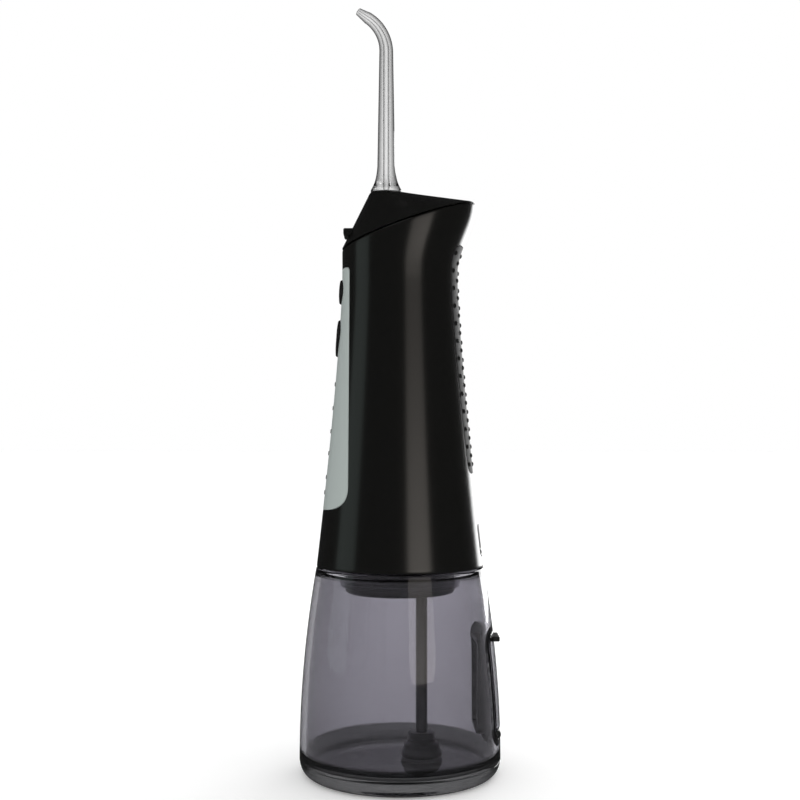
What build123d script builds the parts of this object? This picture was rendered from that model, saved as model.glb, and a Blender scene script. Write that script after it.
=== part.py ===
"""Cordless water flosser: a tapered housing with its pump, motor and battery, a turning nozzle
that pulls out of the head, and a water tank that pulls off downwards.

Millimetres. +Z is up. The origin is the centre of the face that the tank stands on.
The front, with the buttons and the nozzle's bend, faces -X. The object is symmetric about the XZ plane.
"""

from build123d import *
import os
from functools import cache
from math import cos, pi, radians, sin, sqrt

# ---------------------------------------------------------------- driving sizes

# fits
CLEAR = 0.15
RUNNING = 0.05
REACH = 80.0
FAR = 3 * REACH

# tank
TANK_HEIGHT = 72.6
TANK_RADIUS = 35.7
TANK_WALL = 2.2
SHOULDER_THICK = 1.8
BASE_HEIGHT = 5.4
BASE_CORNER = 5.0
BASE_FLOOR = 2.8
STANDING_RING = 3.2
BASE_RECESS = 2.4
NECK_RADIUS = 20.0
NECK_WALL = 1.4
NECK_DEPTH = 6.6
TANK_INNER_TOP = TANK_HEIGHT - SHOULDER_THICK
FLOOR_TOP = BASE_RECESS + BASE_FLOOR

# housing
SEAM_GAP = 0.4
HOUSING_Z = TANK_HEIGHT + SEAM_GAP
HOUSING_RADIUS = 29.8
SHOULDER_RADIUS = HOUSING_RADIUS + 0.1
WAIST_RADIUS = 20.8
WAIST_RISE = 102.0
SHELL_WALL = 2.0
TAPER_POWER = 1.3
HEAD_RISE = 130.0
FRONT_REACH = WAIST_RADIUS + 0.15
BEAK_REACH = WAIST_RADIUS + 6.6
HEAD_HALF_WIDTH = WAIST_RADIUS + 0.6
FLARE_START = 105.0
FORM_STATIONS = (0.0, 0.22, 0.45, 0.7, 0.9)
HEAD_STATIONS = (0.12, 0.32, 0.52, 0.72, 0.92, 1.12)
CREASE_FRONT_RISE = 113.2
CREASE_REAR_RISE = 129.8
CREASE_GAP = 0.25
CREASE_ROUND = 0.7
COVER_WALL = 1.8
LIP_DEPTH = 3.0
LIP_THICK = 1.2
LIP_DROP = 0.4

# front panel
PANEL_EDGE = WAIST_RADIUS - 3.0
PANEL_TOP = HOUSING_Z + 106.5
PANEL_LOW = HOUSING_Z + 19.7
PANEL_TURN = PANEL_LOW + 9.3
PANEL_CORNER = 2.0
PANEL_SWEEP = 5.5
PANEL_THICK = 0.6 * SHELL_WALL
PANEL_GAP = 0.15
WINDOW_HALF_WIDTH = 8.8
WINDOW_LOW = PANEL_LOW + 4.3
WINDOW_TOP_LEDGE = 1.0
WINDOW_CORNER = 3.0

# buttons, lights and board
POWER_Z = HOUSING_Z + 98.2
POWER_WIDE = 10.5
POWER_TALL = 8.8
MODE_LOW = HOUSING_Z + 74.8
MODE_HIGH = MODE_LOW + 13.3
MODE_RADIUS = 4.9
MODE_TIP_RADIUS = 2.0
BUTTON_PROUD = 1.1
BUTTON_GAP = 0.25
BUTTON_TRAVEL = 0.8
FLANGE_LAP = 0.8
FLANGE_OUT = PANEL_THICK + 0.25
FLANGE_IN = FLANGE_OUT + 0.75
PLUNGER_RADIUS = 1.5
PLUNGER_REST = 0.3
GASKET_THICK = 0.8
GASKET_MARGIN = 3.0
LIGHT_RISES = (65.0, 56.4, 48.1, 40.2, 31.6, 26.2)
LIGHT_HEIGHTS = [HOUSING_Z + rise for rise in LIGHT_RISES]
LIGHT_RADIUS = 0.65
LIGHT_GAP = 0.05
COMB_THICK = 1.0
COMB_HALF_WIDTH = 2.0
COMB_END = 2.5
BOARD_X = 4.0 - WAIST_RADIUS
BOARD_THICK = 1.2
BOARD_LOW = HOUSING_Z + 22.0
BOARD_HIGH = HOUSING_Z + 105.0
BOARD_HALF_WIDTH = 6.8
SWITCH_TALL = 0.9
SWITCH_HALF = 1.7
SWITCH_STEM = 0.3
SWITCH_STEM_RADIUS = 0.8
CHIP_HALF_WIDTH = 0.8
CHIP_HALF_HEIGHT = 0.5
CHIP_TALL = 0.5
COMB_X = BOARD_X - CHIP_TALL - 0.1

# rear grip
GRIP_LOW = HOUSING_Z + 33.0
GRIP_HIGH = HOUSING_Z + 114.2
GRIP_HALF_WIDTH = 10.6
GRIP_THICK = 0.5 * SHELL_WALL
GRIP_CORNER = 4.0
BUMP_ROWS = 25
BUMP_TOP = GRIP_HIGH - 3.0
BUMP_PITCH = 3.12
BUMP_SPACING = 4.2
BUMP_RADIUS = 0.8
BUMP_TIP_RADIUS = 0.45
BUMP_PROUD = 0.5

# charging port
PORT_LOW = HOUSING_Z + 3.6
PORT_HIGH = PORT_LOW + 11.8
PORT_HALF_WIDTH = 7.5
PORT_CORNER = 2.5
PORT_THICK = 0.7 * SHELL_WALL
PORT_GAP = 0.25
PORT_LEDGE = 1.4
PORT_PIN_RADIUS = 0.6
PORT_KNUCKLE = 1.2
PORT_KNUCKLE_HALF = 3.0
PORT_LUG_WIDTH = 1.6
SOCKET_LENGTH = 5.0
SOCKET_SET_BACK = 2.2
SOCKET_HALF_WIDTH = 4.6
SOCKET_HALF_HEIGHT = 3.2
SOCKET_FLOOR = 1.2

# motor and gears
NOZZLE_X = -5.0
MOTOR_X, MOTOR_Y = NOZZLE_X, -6.6
MOTOR_RADIUS = 10.0
MOTOR_LOW = HOUSING_Z + 31.0
MOTOR_HIGH = MOTOR_LOW + 27.0
MOTOR_CAP = 1.5
MOTOR_BOSS_RADIUS = 3.0
SHAFT_RADIUS = 1.0
SHAFT_SUNK = 3.0
MODULE = 0.5
PINION_TEETH = 10
CROWN_TEETH = 36
PINION_RADIUS = MODULE * PINION_TEETH / 2
CROWN_RADIUS = MODULE * CROWN_TEETH / 2
CROWN_Z = MOTOR_HIGH + 15.0
MESH_GAP = 0.62
CROWN_FACE = MOTOR_Y + PINION_RADIUS + MESH_GAP
CROWN_THICK = 1.8
TOOTH_DEPTH = 1.0
TOOTH_LENGTH = 2.2
AXLE_RADIUS = 1.5

# crank, piston and cylinder
CRANK = 2.5
PIN_RADIUS = 1.2
PIN_PLAY = 0.3
ROD_THICK = 2.0
ROD_GAP = 0.3
ROD_LOW = CROWN_FACE + CROWN_THICK + ROD_GAP
ROD_BORE = CRANK + PIN_RADIUS + PIN_PLAY
ROD_RIM = 1.4
SHANK_HALF = 1.6
PISTON_RADIUS = 4.0
CYLINDER_LOW = CROWN_Z + 10.0
CYLINDER_HIGH = CYLINDER_LOW + 14.0
CYLINDER_WALL = 1.6
CYLINDER_FLANGE = 1.9
PISTON_LOW = CYLINDER_LOW + 3.0
PISTON_HIGH = PISTON_LOW + 4.5
PISTON_GROOVE = 0.8
PISTON_SEAL_HIGH = PISTON_HIGH - 1.2
PISTON_SEAL_LOW = PISTON_SEAL_HIGH - 1.2
SEAL_NIP = 0.03

# pump head and its valves
HEAD_LOW = CYLINDER_HIGH
HEAD_TOP = HEAD_LOW + 8.0
PUMP_HEAD_HALF_LENGTH = 7.2
PUMP_HEAD_HALF_WIDTH = 6.0
VALVE_OFFSET = 2.6
OUTLET_X = NOZZLE_X - VALVE_OFFSET
INLET_X = NOZZLE_X + VALVE_OFFSET
VALVE_RADIUS = 1.8
VALVE_THICK = 0.8
VALVE_ROOM = 1.8
VALVE_PLAY = 0.1
OUTLET_SEAT = HEAD_LOW + 3.0
INLET_SEAT = HEAD_LOW + 1.0
WATERWAY_RADIUS = 1.2

# chassis
FOOT_LOW = HOUSING_Z + 4.0
DECK_LOW = MOTOR_HIGH + 0.3
DECK_THICK = 2.0
CHASSIS_GAP = 0.6
FOOT_END = 17.5
SPINE = (5.9, 8.4, -14.2, -4.0)
AXLE_LOW = SPINE[2] + 0.5
ARM_HALF = 3.2

# battery
BATTERY_X, BATTERY_Y = 8.0, 8.0
BATTERY_RADIUS = 9.0
BATTERY_LOW = FOOT_LOW + 11.0
BATTERY_LENGTH = 50.0
BATTERY_NIB_RADIUS = 2.6
BATTERY_NIB = 1.2
CUP_PLAY = 0.2
CUP_WALL = 1.2
CUP_DEPTH = 8.0

# water way from the tank to the pump
TUBE_X = 7.7
TUBE_RADIUS = 2.05
TUBE_BORE = 1.2
TUBE_HIGH = HOUSING_Z + 5.0
HOSE_RADIUS = 2.0
HOSE_BORE = 1.2
HOSE_BEND = 2.6
HOSE_X, HOSE_Y = 12.8, -5.6
NIPPLE_Z = HEAD_LOW + 5.6
NIPPLE_END = SPINE[1]
NIPPLE_RADIUS = 1.9

# housing floor and plug
PLUG_RADIUS = NECK_RADIUS - 0.4
PLUG_LOW = TANK_HEIGHT - 9.1
PLUG_WALL = 1.8
PLUG_CORNER = 2.0
PLATE_THICK = 2.0
SEAL_LOW = PLUG_LOW + 3.7
SEAL_HIGH = SEAL_LOW + 2.0
SEAL_DEPTH = 1.2
SCREW_RADIUS = 0.9
SCREW_HEAD_RADIUS = 2.2
SCREW_HEAD_TALL = 1.4
SCREW_POST_RADIUS = 3.2
SCREW_LENGTH = 6.0
SCREW_CIRCLE = PLUG_RADIUS - 6.6
SCREW_ANGLES = (110, 190, 255)
SCREW_PLACES = [(SCREW_CIRCLE * cos(radians(a)), SCREW_CIRCLE * sin(radians(a))) for a in SCREW_ANGLES]

# filter foot
FOOT_BOTTOM = FLOOR_TOP + 0.7
FOOT_TOP = FOOT_BOTTOM + 8.3
FOOT_RADIUS = 7.35
FOOT_RIM = 1.4
FOOT_GRIP = 5.0
MESH_HOLE_RADIUS = 0.5
MESH_THICK = 0.6

# nozzle
STEM_RADIUS = 3.8
STEM_LOW = HEAD_TOP + 5.2
GROOVE_LOW = STEM_LOW + 1.8
GROOVE_HIGH = STEM_LOW + 3.4
GROOVE_RADIUS = STEM_RADIUS - 1.0
RING_RISE = 134.2
RING_RADIUS = STEM_RADIUS + 2.1
FLARE_LOW = HOUSING_Z + RING_RISE + 0.15
FLARE_RADIUS = STEM_RADIUS + 1.8
FLARE_THICK = 0.8
NOZZLE_FOOT = HOUSING_Z + 144.0
NOZZLE_FOOT_RADIUS = 3.2
BEND_LOW = HOUSING_Z + 186.0
BEND_LOW_RADIUS = 2.5
BEND_END_RADIUS = 2.15
BEND_TURN = 56.0
BEND_ARC = 15.0
TIP_LENGTH = 4.5
TIP_RADIUS = 1.3
BORE_RADIUS = 1.1
TIP_BORE = 0.45

# nozzle's socket and seat
SOCKET_HIGH = STEM_LOW + 7.0
SOCKET_RADIUS = STEM_RADIUS + 1.8
SEAT_LOW = HOUSING_Z + 122.0
SEAT_STEP = SEAT_LOW + 3.5
SEAT_RADIUS = STEM_RADIUS + 2.4
SEAT_NECK_RADIUS = STEM_RADIUS + 1.0
SEAT_PLAY = 0.1
SLEEVE_RADIUS = SEAT_RADIUS + 1.6
RETAINER_LOW = SEAT_LOW - 1.0

# release latch
TAB_LOW = HOUSING_Z + 118.2
TAB_HIGH = TAB_LOW + 2.5
TAB_HALF_WIDTH = 5.5
TAB_GAP = 0.25
TAB_FRONT = 0.65 - FRONT_REACH
TAB_ROUND = 0.6
PLATE_LOW = TAB_LOW - 0.3
PLATE_HIGH = PLATE_LOW + 2.0
LATCH_FRONT = NOZZLE_X - STEM_RADIUS - 5.4
LATCH_REAR = NOZZLE_X + STEM_RADIUS + 3.7
LATCH_HALF_WIDTH = STEM_RADIUS + 2.7
LATCH_TRAVEL = 1.5
LATCH_PLAY = 0.6
TAB_ROOT = LATCH_FRONT + 1.7
SPRING_RADIUS = 0.95
SPRING_LENGTH = 4.0
POST_THICK = 1.6
POST_HALF_WIDTH = 2.5
POST_LOW = HEAD_TOP + 6.0

# fill door
DOOR_LOW = BASE_HEIGHT + 7.6
DOOR_HIGH = TANK_HEIGHT - 22.6
DOOR_HALF_WIDTH = 12.0
DOOR_CORNER = 5.0
DOOR_THICK = 1.5
DOOR_GAP = 0.3
DOOR_SEAT = 0.2
MOUTH_INSET = 3.4
FRAME_LAP = 2.0
FRAME_THICK = 1.3
FRAME_DEEP_X = TANK_RADIUS - 9.1
FRAME_BED_HALF = 8.0
FRAME_BED_DEPTH = 4.6
KNUCKLE_RADIUS = 1.6
KNUCKLE_HALF = 4.0
KNUCKLE_SINK = 0.15
DOOR_PIN_RADIUS = 0.8
LUG_GAP = 0.25
LUG_WIDTH = 2.6
PLUG_INSET = 0.55
PLUG_DEPTH = 2.6
PULL_HALF_WIDTH = 5.0
PULL_HEIGHT = 1.8
PULL_REACH = TANK_RADIUS - 0.4


# ---------------------------------------------------------------- forms


def tank_outline(inset, low, high):
    """Outer side curve of the tank, moved in by inset: upright at the foot, leaning in to the shoulder."""
    middle = (low + high) / 2
    return Bezier(
        (TANK_RADIUS - inset, low),
        (TANK_RADIUS - inset, middle),
        (SHOULDER_RADIUS - inset, high),
    )


def smooth(t):
    """Eased step from 0 to 1."""
    t = min(max(t, 0.0), 1.0)
    return t * t * (3 - 2 * t)


def station(rise):
    """Front reach, rear reach and half width of the housing at a height above the seam."""
    taper = max(1 - rise / WAIST_RISE, 0.0) ** TAPER_POWER
    radius = WAIST_RADIUS + (HOUSING_RADIUS - WAIST_RADIUS) * taper
    flare = smooth((rise - FLARE_START) / (HEAD_RISE - FLARE_START))
    widening = smooth((rise - WAIST_RISE) / (HEAD_RISE - WAIST_RISE))
    front = radius + (FRONT_REACH - WAIST_RADIUS) * widening
    rear = radius + (BEAK_REACH - WAIST_RADIUS) * flare
    half_width = radius + (HEAD_HALF_WIDTH - WAIST_RADIUS) * widening
    return front, rear, half_width


@cache
def form(inset):
    """The housing's outer form as a solid, moved in by inset on every side, open-topped above the beak."""
    rises = [WAIST_RISE * s for s in FORM_STATIONS]
    rises += [WAIST_RISE + (HEAD_RISE - WAIST_RISE) * s for s in HEAD_STATIONS]
    sections = []
    for rise in rises:
        front, rear, half_width = station(rise)
        half_length = (front + rear) / 2 - inset
        half_width -= inset
        sides = [
            EllipticalCenterArc((0, 0), half_length, half_width, start, arc_size=180)
            for start in (0, 180)
        ]
        level = Plane(((rear - front) / 2, 0, HOUSING_Z + rise))
        sections.append(level * make_face(sides))
    return loft(sections)


def crease_plane(shift=0.0):
    """Sloping plane that the head cover meets the shell on, moved along its normal by shift."""
    run = FRONT_REACH + BEAK_REACH
    slope = (CREASE_REAR_RISE - CREASE_FRONT_RISE) / run
    origin = Vector(-FRONT_REACH, 0, HOUSING_Z + CREASE_FRONT_RISE)
    normal = Vector(-slope, 0, 1).normalized()
    return Plane(origin + normal * shift, x_dir=(1, 0, slope), z_dir=normal)


def below(shape, plane):
    return split(shape, bisect_by=plane, keep=Keep.BOTTOM)


def above(shape, plane):
    return split(shape, bisect_by=plane, keep=Keep.TOP)


def turned(shape, x=0.0, y=0.0):
    """Revolves a profile drawn in the XZ plane about Z and moves it to the axis at x, y."""
    return Pos(x, y, 0) * revolve(shape, Axis.Z)


def upright(radius, low, high, x=0.0, y=0.0):
    """Cylinder about a vertical axis at x, y, between two heights."""
    return Pos(x, y, (low + high) / 2) * Cylinder(radius, high - low)


def ring(outer, inner, low, high, x=0.0, y=0.0):
    """Upright tube between two heights."""
    return upright(outer, low, high, x, y) - upright(inner, low, high, x, y)


def block(x_low, x_high, y_low, y_high, z_low, z_high):
    """Box between two corners."""
    centre = Pos((x_low + x_high) / 2, (y_low + y_high) / 2, (z_low + z_high) / 2)
    return centre * Box(x_high - x_low, y_high - y_low, z_high - z_low)


def along_x(outline, x_low, x_high):
    """Extrudes a sketch drawn in Y (across) and Z (up) from x_low to x_high."""
    return extrude(Plane((x_low, 0, 0), x_dir=(0, 1, 0), z_dir=(1, 0, 0)) * outline, x_high - x_low)


def along_y(radius, x, z, y_low, y_high):
    """Cylinder along Y at x, z."""
    return Pos(x, (y_low + y_high) / 2, z) * Rot(90, 0, 0) * Cylinder(radius, y_high - y_low)


def crease_face(inset, shift=0.0):
    """The housing form's cut face on the crease plane, as two edges that meet at the front and rear."""
    plane = crease_plane(shift)
    cut = below(form(inset), plane)
    return [f for f in cut.faces() if abs(f.normal_at().dot(plane.z_dir)) > 0.999][0]


def cover_form(inset, shift=0.0, drop=0.0):
    """Solid of straight lines from the crease to the ring round the nozzle, moved in by inset."""
    radius = RING_RADIUS - inset / 2
    sides = [EllipticalCenterArc((0, 0), radius, radius, start, arc_size=180) for start in (0, 180)]
    top = Plane((NOZZLE_X, 0, HOUSING_Z + RING_RISE - drop)) * make_face(sides).face()
    return loft([crease_face(inset, shift), top], ruled=True)


# ---------------------------------------------------------------- housing skin


def side_prism(lines):
    """Solid right through the object whose side view is the closed outline, drawn in X and Z."""
    return extrude(Plane.XZ * make_face(lines), REACH, both=True)


def panel_prism(margin):
    """Room of the front panel: upright side edge, rounded top corner, swept-up foot; shrunk by margin."""
    edge, top, low = -PANEL_EDGE - margin, PANEL_TOP - margin, PANEL_LOW + margin
    far = -REACH
    foot = -HOUSING_RADIUS
    return side_prism(
        [
            Line((far, top), (edge - PANEL_CORNER, top)),
            RadiusArc((edge - PANEL_CORNER, top), (edge, top - PANEL_CORNER), PANEL_CORNER),
            Line((edge, top - PANEL_CORNER), (edge, PANEL_TURN + margin)),
            Bezier(
                (edge, PANEL_TURN + margin), (edge, low + 1.5), (edge - PANEL_SWEEP, low + 0.4), (foot, low)
            ),
            Line((foot, low), (far, low)),
            Line((far, low), (far, top)),
        ]
    )


def panel_window(margin):
    """Opening in the shell behind the panel, shrunk by margin."""
    top = PANEL_TOP - WINDOW_TOP_LEDGE - margin
    outline = upright_slot(WINDOW_HALF_WIDTH - margin, WINDOW_LOW + margin, top, WINDOW_CORNER)
    return along_x(outline, -REACH, 0)


def upright_slot(half_width, low, high, corner):
    """Rounded rectangle in Y and Z."""
    return Pos(0, (low + high) / 2) * RectangleRounded(2 * half_width, high - low, corner)


def grip_room(margin):
    """Room of the rear grip, shrunk by margin."""
    outline = upright_slot(
        GRIP_HALF_WIDTH - margin, GRIP_LOW + margin, GRIP_HIGH - margin, GRIP_CORNER - margin
    )
    return along_x(outline, 0, REACH)


def port_room(margin):
    """Room of the charging port's cover, shrunk by margin."""
    outline = upright_slot(
        PORT_HALF_WIDTH - margin, PORT_LOW + margin, PORT_HIGH - margin, PORT_CORNER - margin
    )
    return along_x(outline, 0, REACH)


def layer(outer, inner):
    """Skin of the housing's form between two insets."""
    return form(outer) - form(inner)


def main_shell():
    """Tapered grip with a seat for the panel, a bed for the rear grip and the charging port's window."""
    shell = below(layer(0, SHELL_WALL), crease_plane())
    rim = [e for e in shell.edges() if e.center().Z > HOUSING_Z + CREASE_FRONT_RISE - 5]
    outer_rim = sorted(rim, key=lambda e: -e.length)[:2]
    shell = fillet(outer_rim, CREASE_ROUND)
    shell -= panel_prism(0) - form(PANEL_THICK)
    shell -= panel_window(0)
    shell -= grip_room(0) - form(GRIP_THICK)
    shell -= port_room(0) - form(PORT_THICK)
    shell -= port_room(PORT_LEDGE)
    return add_port_hinge(shell)


def head_cover():
    """Sloping cap from the crease to the nozzle, with a lip into the shell and a sleeve for the seat."""
    cover = cover_form(0, CREASE_GAP) - cover_form(COVER_WALL, -LIP_DEPTH, COVER_WALL)
    lip = layer(SHELL_WALL + CLEAR, SHELL_WALL + CLEAR + LIP_THICK)
    lip = above(below(lip, crease_plane(CREASE_GAP + LIP_DROP)), crease_plane(-LIP_DEPTH))
    sleeve = upright(SLEEVE_RADIUS, SEAT_LOW - SEAT_PLAY, HOUSING_Z + RING_RISE, NOZZLE_X)
    cover += lip + (sleeve & cover_form(LIP_DROP, CREASE_GAP))
    cover -= upright(SEAT_RADIUS + RUNNING, 0, SEAT_STEP + SEAT_PLAY, NOZZLE_X)
    cover -= upright(SEAT_NECK_RADIUS + RUNNING, 0, FAR, NOZZLE_X)
    slot = block(-REACH, NOZZLE_X - SLEEVE_RADIUS, -TAB_HALF_WIDTH - TAB_GAP, TAB_HALF_WIDTH + TAB_GAP,
                 TAB_LOW - TAB_GAP, TAB_HIGH + TAB_GAP)
    return cover - slot


def on_panel(y, z, radius):
    """Round hole's room through the front, along X."""
    return Pos(-REACH / 2, y, z) * Rot(0, 90, 0) * Cylinder(radius, REACH)


def power_outline(margin):
    """Oval of the power button in Y and Z."""
    return Pos(0, POWER_Z) * Ellipse(POWER_WIDE / 2 + margin, POWER_TALL / 2 + margin)


def mode_outline(margin):
    """Teardrop of the mode button in Y and Z: a wide round top hulled with a small round foot."""
    top = Pos(0, MODE_HIGH - MODE_RADIUS) * Circle(MODE_RADIUS + margin)
    foot = Pos(0, MODE_LOW + MODE_TIP_RADIUS) * Circle(MODE_TIP_RADIUS + margin)
    return make_hull((top + foot).edges())


BUTTONS = {"power_button": power_outline, "mode_button": mode_outline}
BUTTON_HEIGHTS = {"power_button": POWER_Z, "mode_button": MODE_HIGH - MODE_RADIUS}


def room(outline):
    """The outline's prism through the front half of the housing."""
    return along_x(outline, -REACH, 0)


def panel_plate():
    """Inset plate on the front, with holes for the buttons and the lights."""
    plate = layer(0, PANEL_THICK) & panel_prism(PANEL_GAP)
    for outline in BUTTONS.values():
        plate -= room(outline(BUTTON_GAP))
    for z in LIGHT_HEIGHTS:
        plate -= on_panel(0, z, LIGHT_RADIUS + LIGHT_GAP)
    return plate


def button(name):
    """Push button that follows the housing's curve, with a flange behind the panel and a plunger."""
    outline = BUTTONS[name]
    cap = layer(-BUTTON_PROUD, FLANGE_IN) & room(outline(0))
    flange = layer(FLANGE_OUT, FLANGE_IN) & room(outline(FLANGE_LAP))
    z = BUTTON_HEIGHTS[name]
    plunger_end = BOARD_X - SWITCH_TALL - BUTTON_TRAVEL - PLUNGER_REST
    plunger = on_panel(0, z, PLUNGER_RADIUS) & block(-REACH, plunger_end, -REACH, REACH, 0, FAR)
    return cap + flange + (plunger & form(FLANGE_IN - 0.2))


def button_gasket():
    """Rubber frame bonded behind the panel round both buttons."""
    frame = layer(PANEL_THICK, PANEL_THICK + GASKET_THICK) & panel_window(CLEAR)
    frame &= block(-REACH, 0, -REACH, REACH, MODE_LOW - GASKET_MARGIN, PANEL_TOP)
    for outline in BUTTONS.values():
        frame -= room(outline(FLANGE_LAP + BUTTON_GAP))
    return frame


def light_pipes():
    """Comb of clear rods that carries the board's lights to the panel."""
    low, high = LIGHT_HEIGHTS[-1] - COMB_END, LIGHT_HEIGHTS[0] + COMB_END
    comb = block(COMB_X - COMB_THICK, COMB_X, -COMB_HALF_WIDTH, COMB_HALF_WIDTH, low, high)
    for z in LIGHT_HEIGHTS:
        rod = on_panel(0, z, LIGHT_RADIUS) & block(-REACH, COMB_X, -REACH, REACH, 0, FAR)
        comb += rod & form(0)
    return comb


def rear_grip():
    """Rubber inlay on the back with staggered rows of round bumps."""
    grip = layer(0, GRIP_THICK) & grip_room(CLEAR)
    bumps = []
    root = 0.75 * GRIP_THICK
    for row in range(BUMP_ROWS):
        z = BUMP_TOP - row * BUMP_PITCH
        front, rear, half_width = station(z - HOUSING_Z)
        places = (-2, 0, 2) if row % 2 == 0 else (-1, 1)
        for step in places:
            y = step * BUMP_SPACING
            middle, half_length = (rear - front) / 2, (front + rear) / 2
            x = middle + half_length * sqrt(1 - (y / half_width) ** 2)
            bump = Rot(0, 90, 0) * Cone(BUMP_RADIUS, BUMP_TIP_RADIUS, root + BUMP_PROUD)
            bumps.append(Pos(x + (BUMP_PROUD - root) / 2, y, z) * bump)
    return grip + bumps


def circuit_board():
    """Flat board upright behind the panel."""
    return block(BOARD_X, BOARD_X + BOARD_THICK, -BOARD_HALF_WIDTH, BOARD_HALF_WIDTH, BOARD_LOW, BOARD_HIGH)


def switch(z):
    """Tactile switch on the board's front."""
    half = SWITCH_HALF
    body = block(BOARD_X - SWITCH_TALL + SWITCH_STEM, BOARD_X, -half, half, z - half, z + half)
    stem = on_panel(0, z, SWITCH_STEM_RADIUS) & block(BOARD_X - SWITCH_TALL, BOARD_X, -half, half, 0, FAR)
    return body + stem


def board_lights():
    """Row of light chips behind the pipes."""
    wide, tall = CHIP_HALF_WIDTH, CHIP_HALF_HEIGHT
    chips = [block(BOARD_X - CHIP_TALL, BOARD_X, -wide, wide, z - tall, z + tall) for z in LIGHT_HEIGHTS]
    return Compound(children=chips)


# ---------------------------------------------------------------- pump, motor and battery


def chassis_frame():
    """Inner frame: a foot plate, a motor deck and a spine with arms for the axle and the cylinder."""
    inside = form(SHELL_WALL + CHASSIS_GAP)
    disc = 2 * HOUSING_RADIUS
    foot = block(-disc, disc, -disc, disc, FOOT_LOW, FOOT_LOW + DECK_THICK) & inside
    foot -= block(FOOT_END, disc, -disc, disc, 0, FAR)
    foot -= upright(TUBE_RADIUS + CHASSIS_GAP, 0, FAR, TUBE_X)
    for x, y in SCREW_PLACES:
        foot -= upright(SCREW_RADIUS + 0.1, 0, FAR, x, y)
    deck = block(BOARD_X + BOARD_THICK + 0.3, disc, -disc, disc, DECK_LOW, DECK_LOW + DECK_THICK) & inside
    deck -= upright(BATTERY_RADIUS + 0.4, 0, FAR, BATTERY_X, BATTERY_Y)
    deck -= upright(SHAFT_RADIUS + 1.2, 0, FAR, MOTOR_X, MOTOR_Y)
    deck -= upright(HOSE_RADIUS + 0.5, 0, FAR, HOSE_X, HOSE_Y)
    x_low, x_high, y_low, y_high = SPINE
    spine = block(x_low, x_high, y_low, y_high, FOOT_LOW + DECK_THICK, HEAD_TOP - 2)
    arm_high = CROWN_FACE - TOOTH_DEPTH - 0.4
    arm = block(NOZZLE_X - ARM_HALF, x_high, y_low + 1, arm_high, CROWN_Z - ARM_HALF, CROWN_Z + ARM_HALF)
    arm -= along_y(AXLE_RADIUS + RUNNING, NOZZLE_X, CROWN_Z, -disc, disc)
    cradle = block(x_low - 3, x_high, y_low + 6, y_high + 1.5, CYLINDER_LOW + 2, CYLINDER_HIGH - 1)
    cradle -= upright(PISTON_RADIUS + CYLINDER_WALL, 0, FAR, NOZZLE_X)
    return foot + deck + spine + arm + cradle


def motor_can():
    """Motor body with a rounded rear boss."""
    can = upright(MOTOR_RADIUS, MOTOR_LOW + MOTOR_CAP, MOTOR_HIGH, MOTOR_X, MOTOR_Y)
    return can - upright(SHAFT_RADIUS + 0.3, MOTOR_HIGH - SHAFT_SUNK - 1, MOTOR_HIGH + 1, MOTOR_X, MOTOR_Y)


def motor_end_cap():
    """Disc that closes the motor's lower end, with a round boss."""
    cap = upright(MOTOR_RADIUS - 0.4, MOTOR_LOW, MOTOR_LOW + MOTOR_CAP, MOTOR_X, MOTOR_Y)
    return cap + upright(MOTOR_BOSS_RADIUS, MOTOR_LOW - MOTOR_CAP, MOTOR_LOW, MOTOR_X, MOTOR_Y)


def wedge(half_root, half_tip, root, tip, low, high):
    """Gear tooth: a trapezoid in X and Y that runs along +Y from root to tip, between two heights."""
    outline = Polygon((-half_root, root), (half_root, root), (half_tip, tip), (-half_tip, tip), align=None)
    return Pos(0, 0, low) * extrude(outline, high - low)


def motor_pinion():
    """Motor shaft with its small gear, which meshes with the crown gear's face."""
    root, tip = PINION_RADIUS - 0.6, PINION_RADIUS + 0.4
    middle = CROWN_Z - CROWN_RADIUS
    low, high = middle - TOOTH_LENGTH / 2 - 0.2, middle + TOOTH_LENGTH / 2 + 0.2
    tooth = wedge(0.42, 0.16, root - 0.2, tip, low, high)
    gear = upright(root, low, high)
    gear += [Rot(0, 0, 360 / PINION_TEETH * i) * tooth for i in range(PINION_TEETH)]
    gear += upright(SHAFT_RADIUS, MOTOR_HIGH - SHAFT_SUNK, high)
    return Pos(MOTOR_X, MOTOR_Y, 0) * gear


def crown_gear():
    """Crown gear on the axle: face teeth towards -Y, and an eccentric pin towards +Y for the piston rod."""
    outer = CROWN_RADIUS + TOOTH_LENGTH / 2
    disc = along_y(outer, 0, 0, CROWN_FACE, CROWN_FACE + CROWN_THICK)
    tooth = wedge(0.38, 0.16, 0, TOOTH_DEPTH, outer - TOOTH_LENGTH + 0.1, outer - 0.1)
    tooth = Pos(0, CROWN_FACE + 0.02, 0) * Rot(0, 0, 180) * tooth
    gear = disc + [Rot(0, 360 / CROWN_TEETH * (i + 0.5), 0) * tooth for i in range(CROWN_TEETH)]
    back = CROWN_FACE + CROWN_THICK
    gear += along_y(PIN_RADIUS, 0, -CRANK, back, back + ROD_THICK + 0.5)
    gear += along_y(AXLE_RADIUS, 0, 0, AXLE_LOW, CROWN_FACE)
    return Pos(NOZZLE_X, 0, CROWN_Z) * gear


def rod_eye(radius):
    """Upright eye across the rod, tall enough for the crank pin anywhere in the stroke."""
    low, high = ROD_LOW, ROD_LOW + ROD_THICK
    eye = block(NOZZLE_X - radius, NOZZLE_X + radius, low, high, CROWN_Z - CRANK, CROWN_Z + CRANK)
    for z in (CROWN_Z - CRANK, CROWN_Z + CRANK):
        eye += along_y(radius, NOZZLE_X, z, low, high)
    return eye


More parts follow.
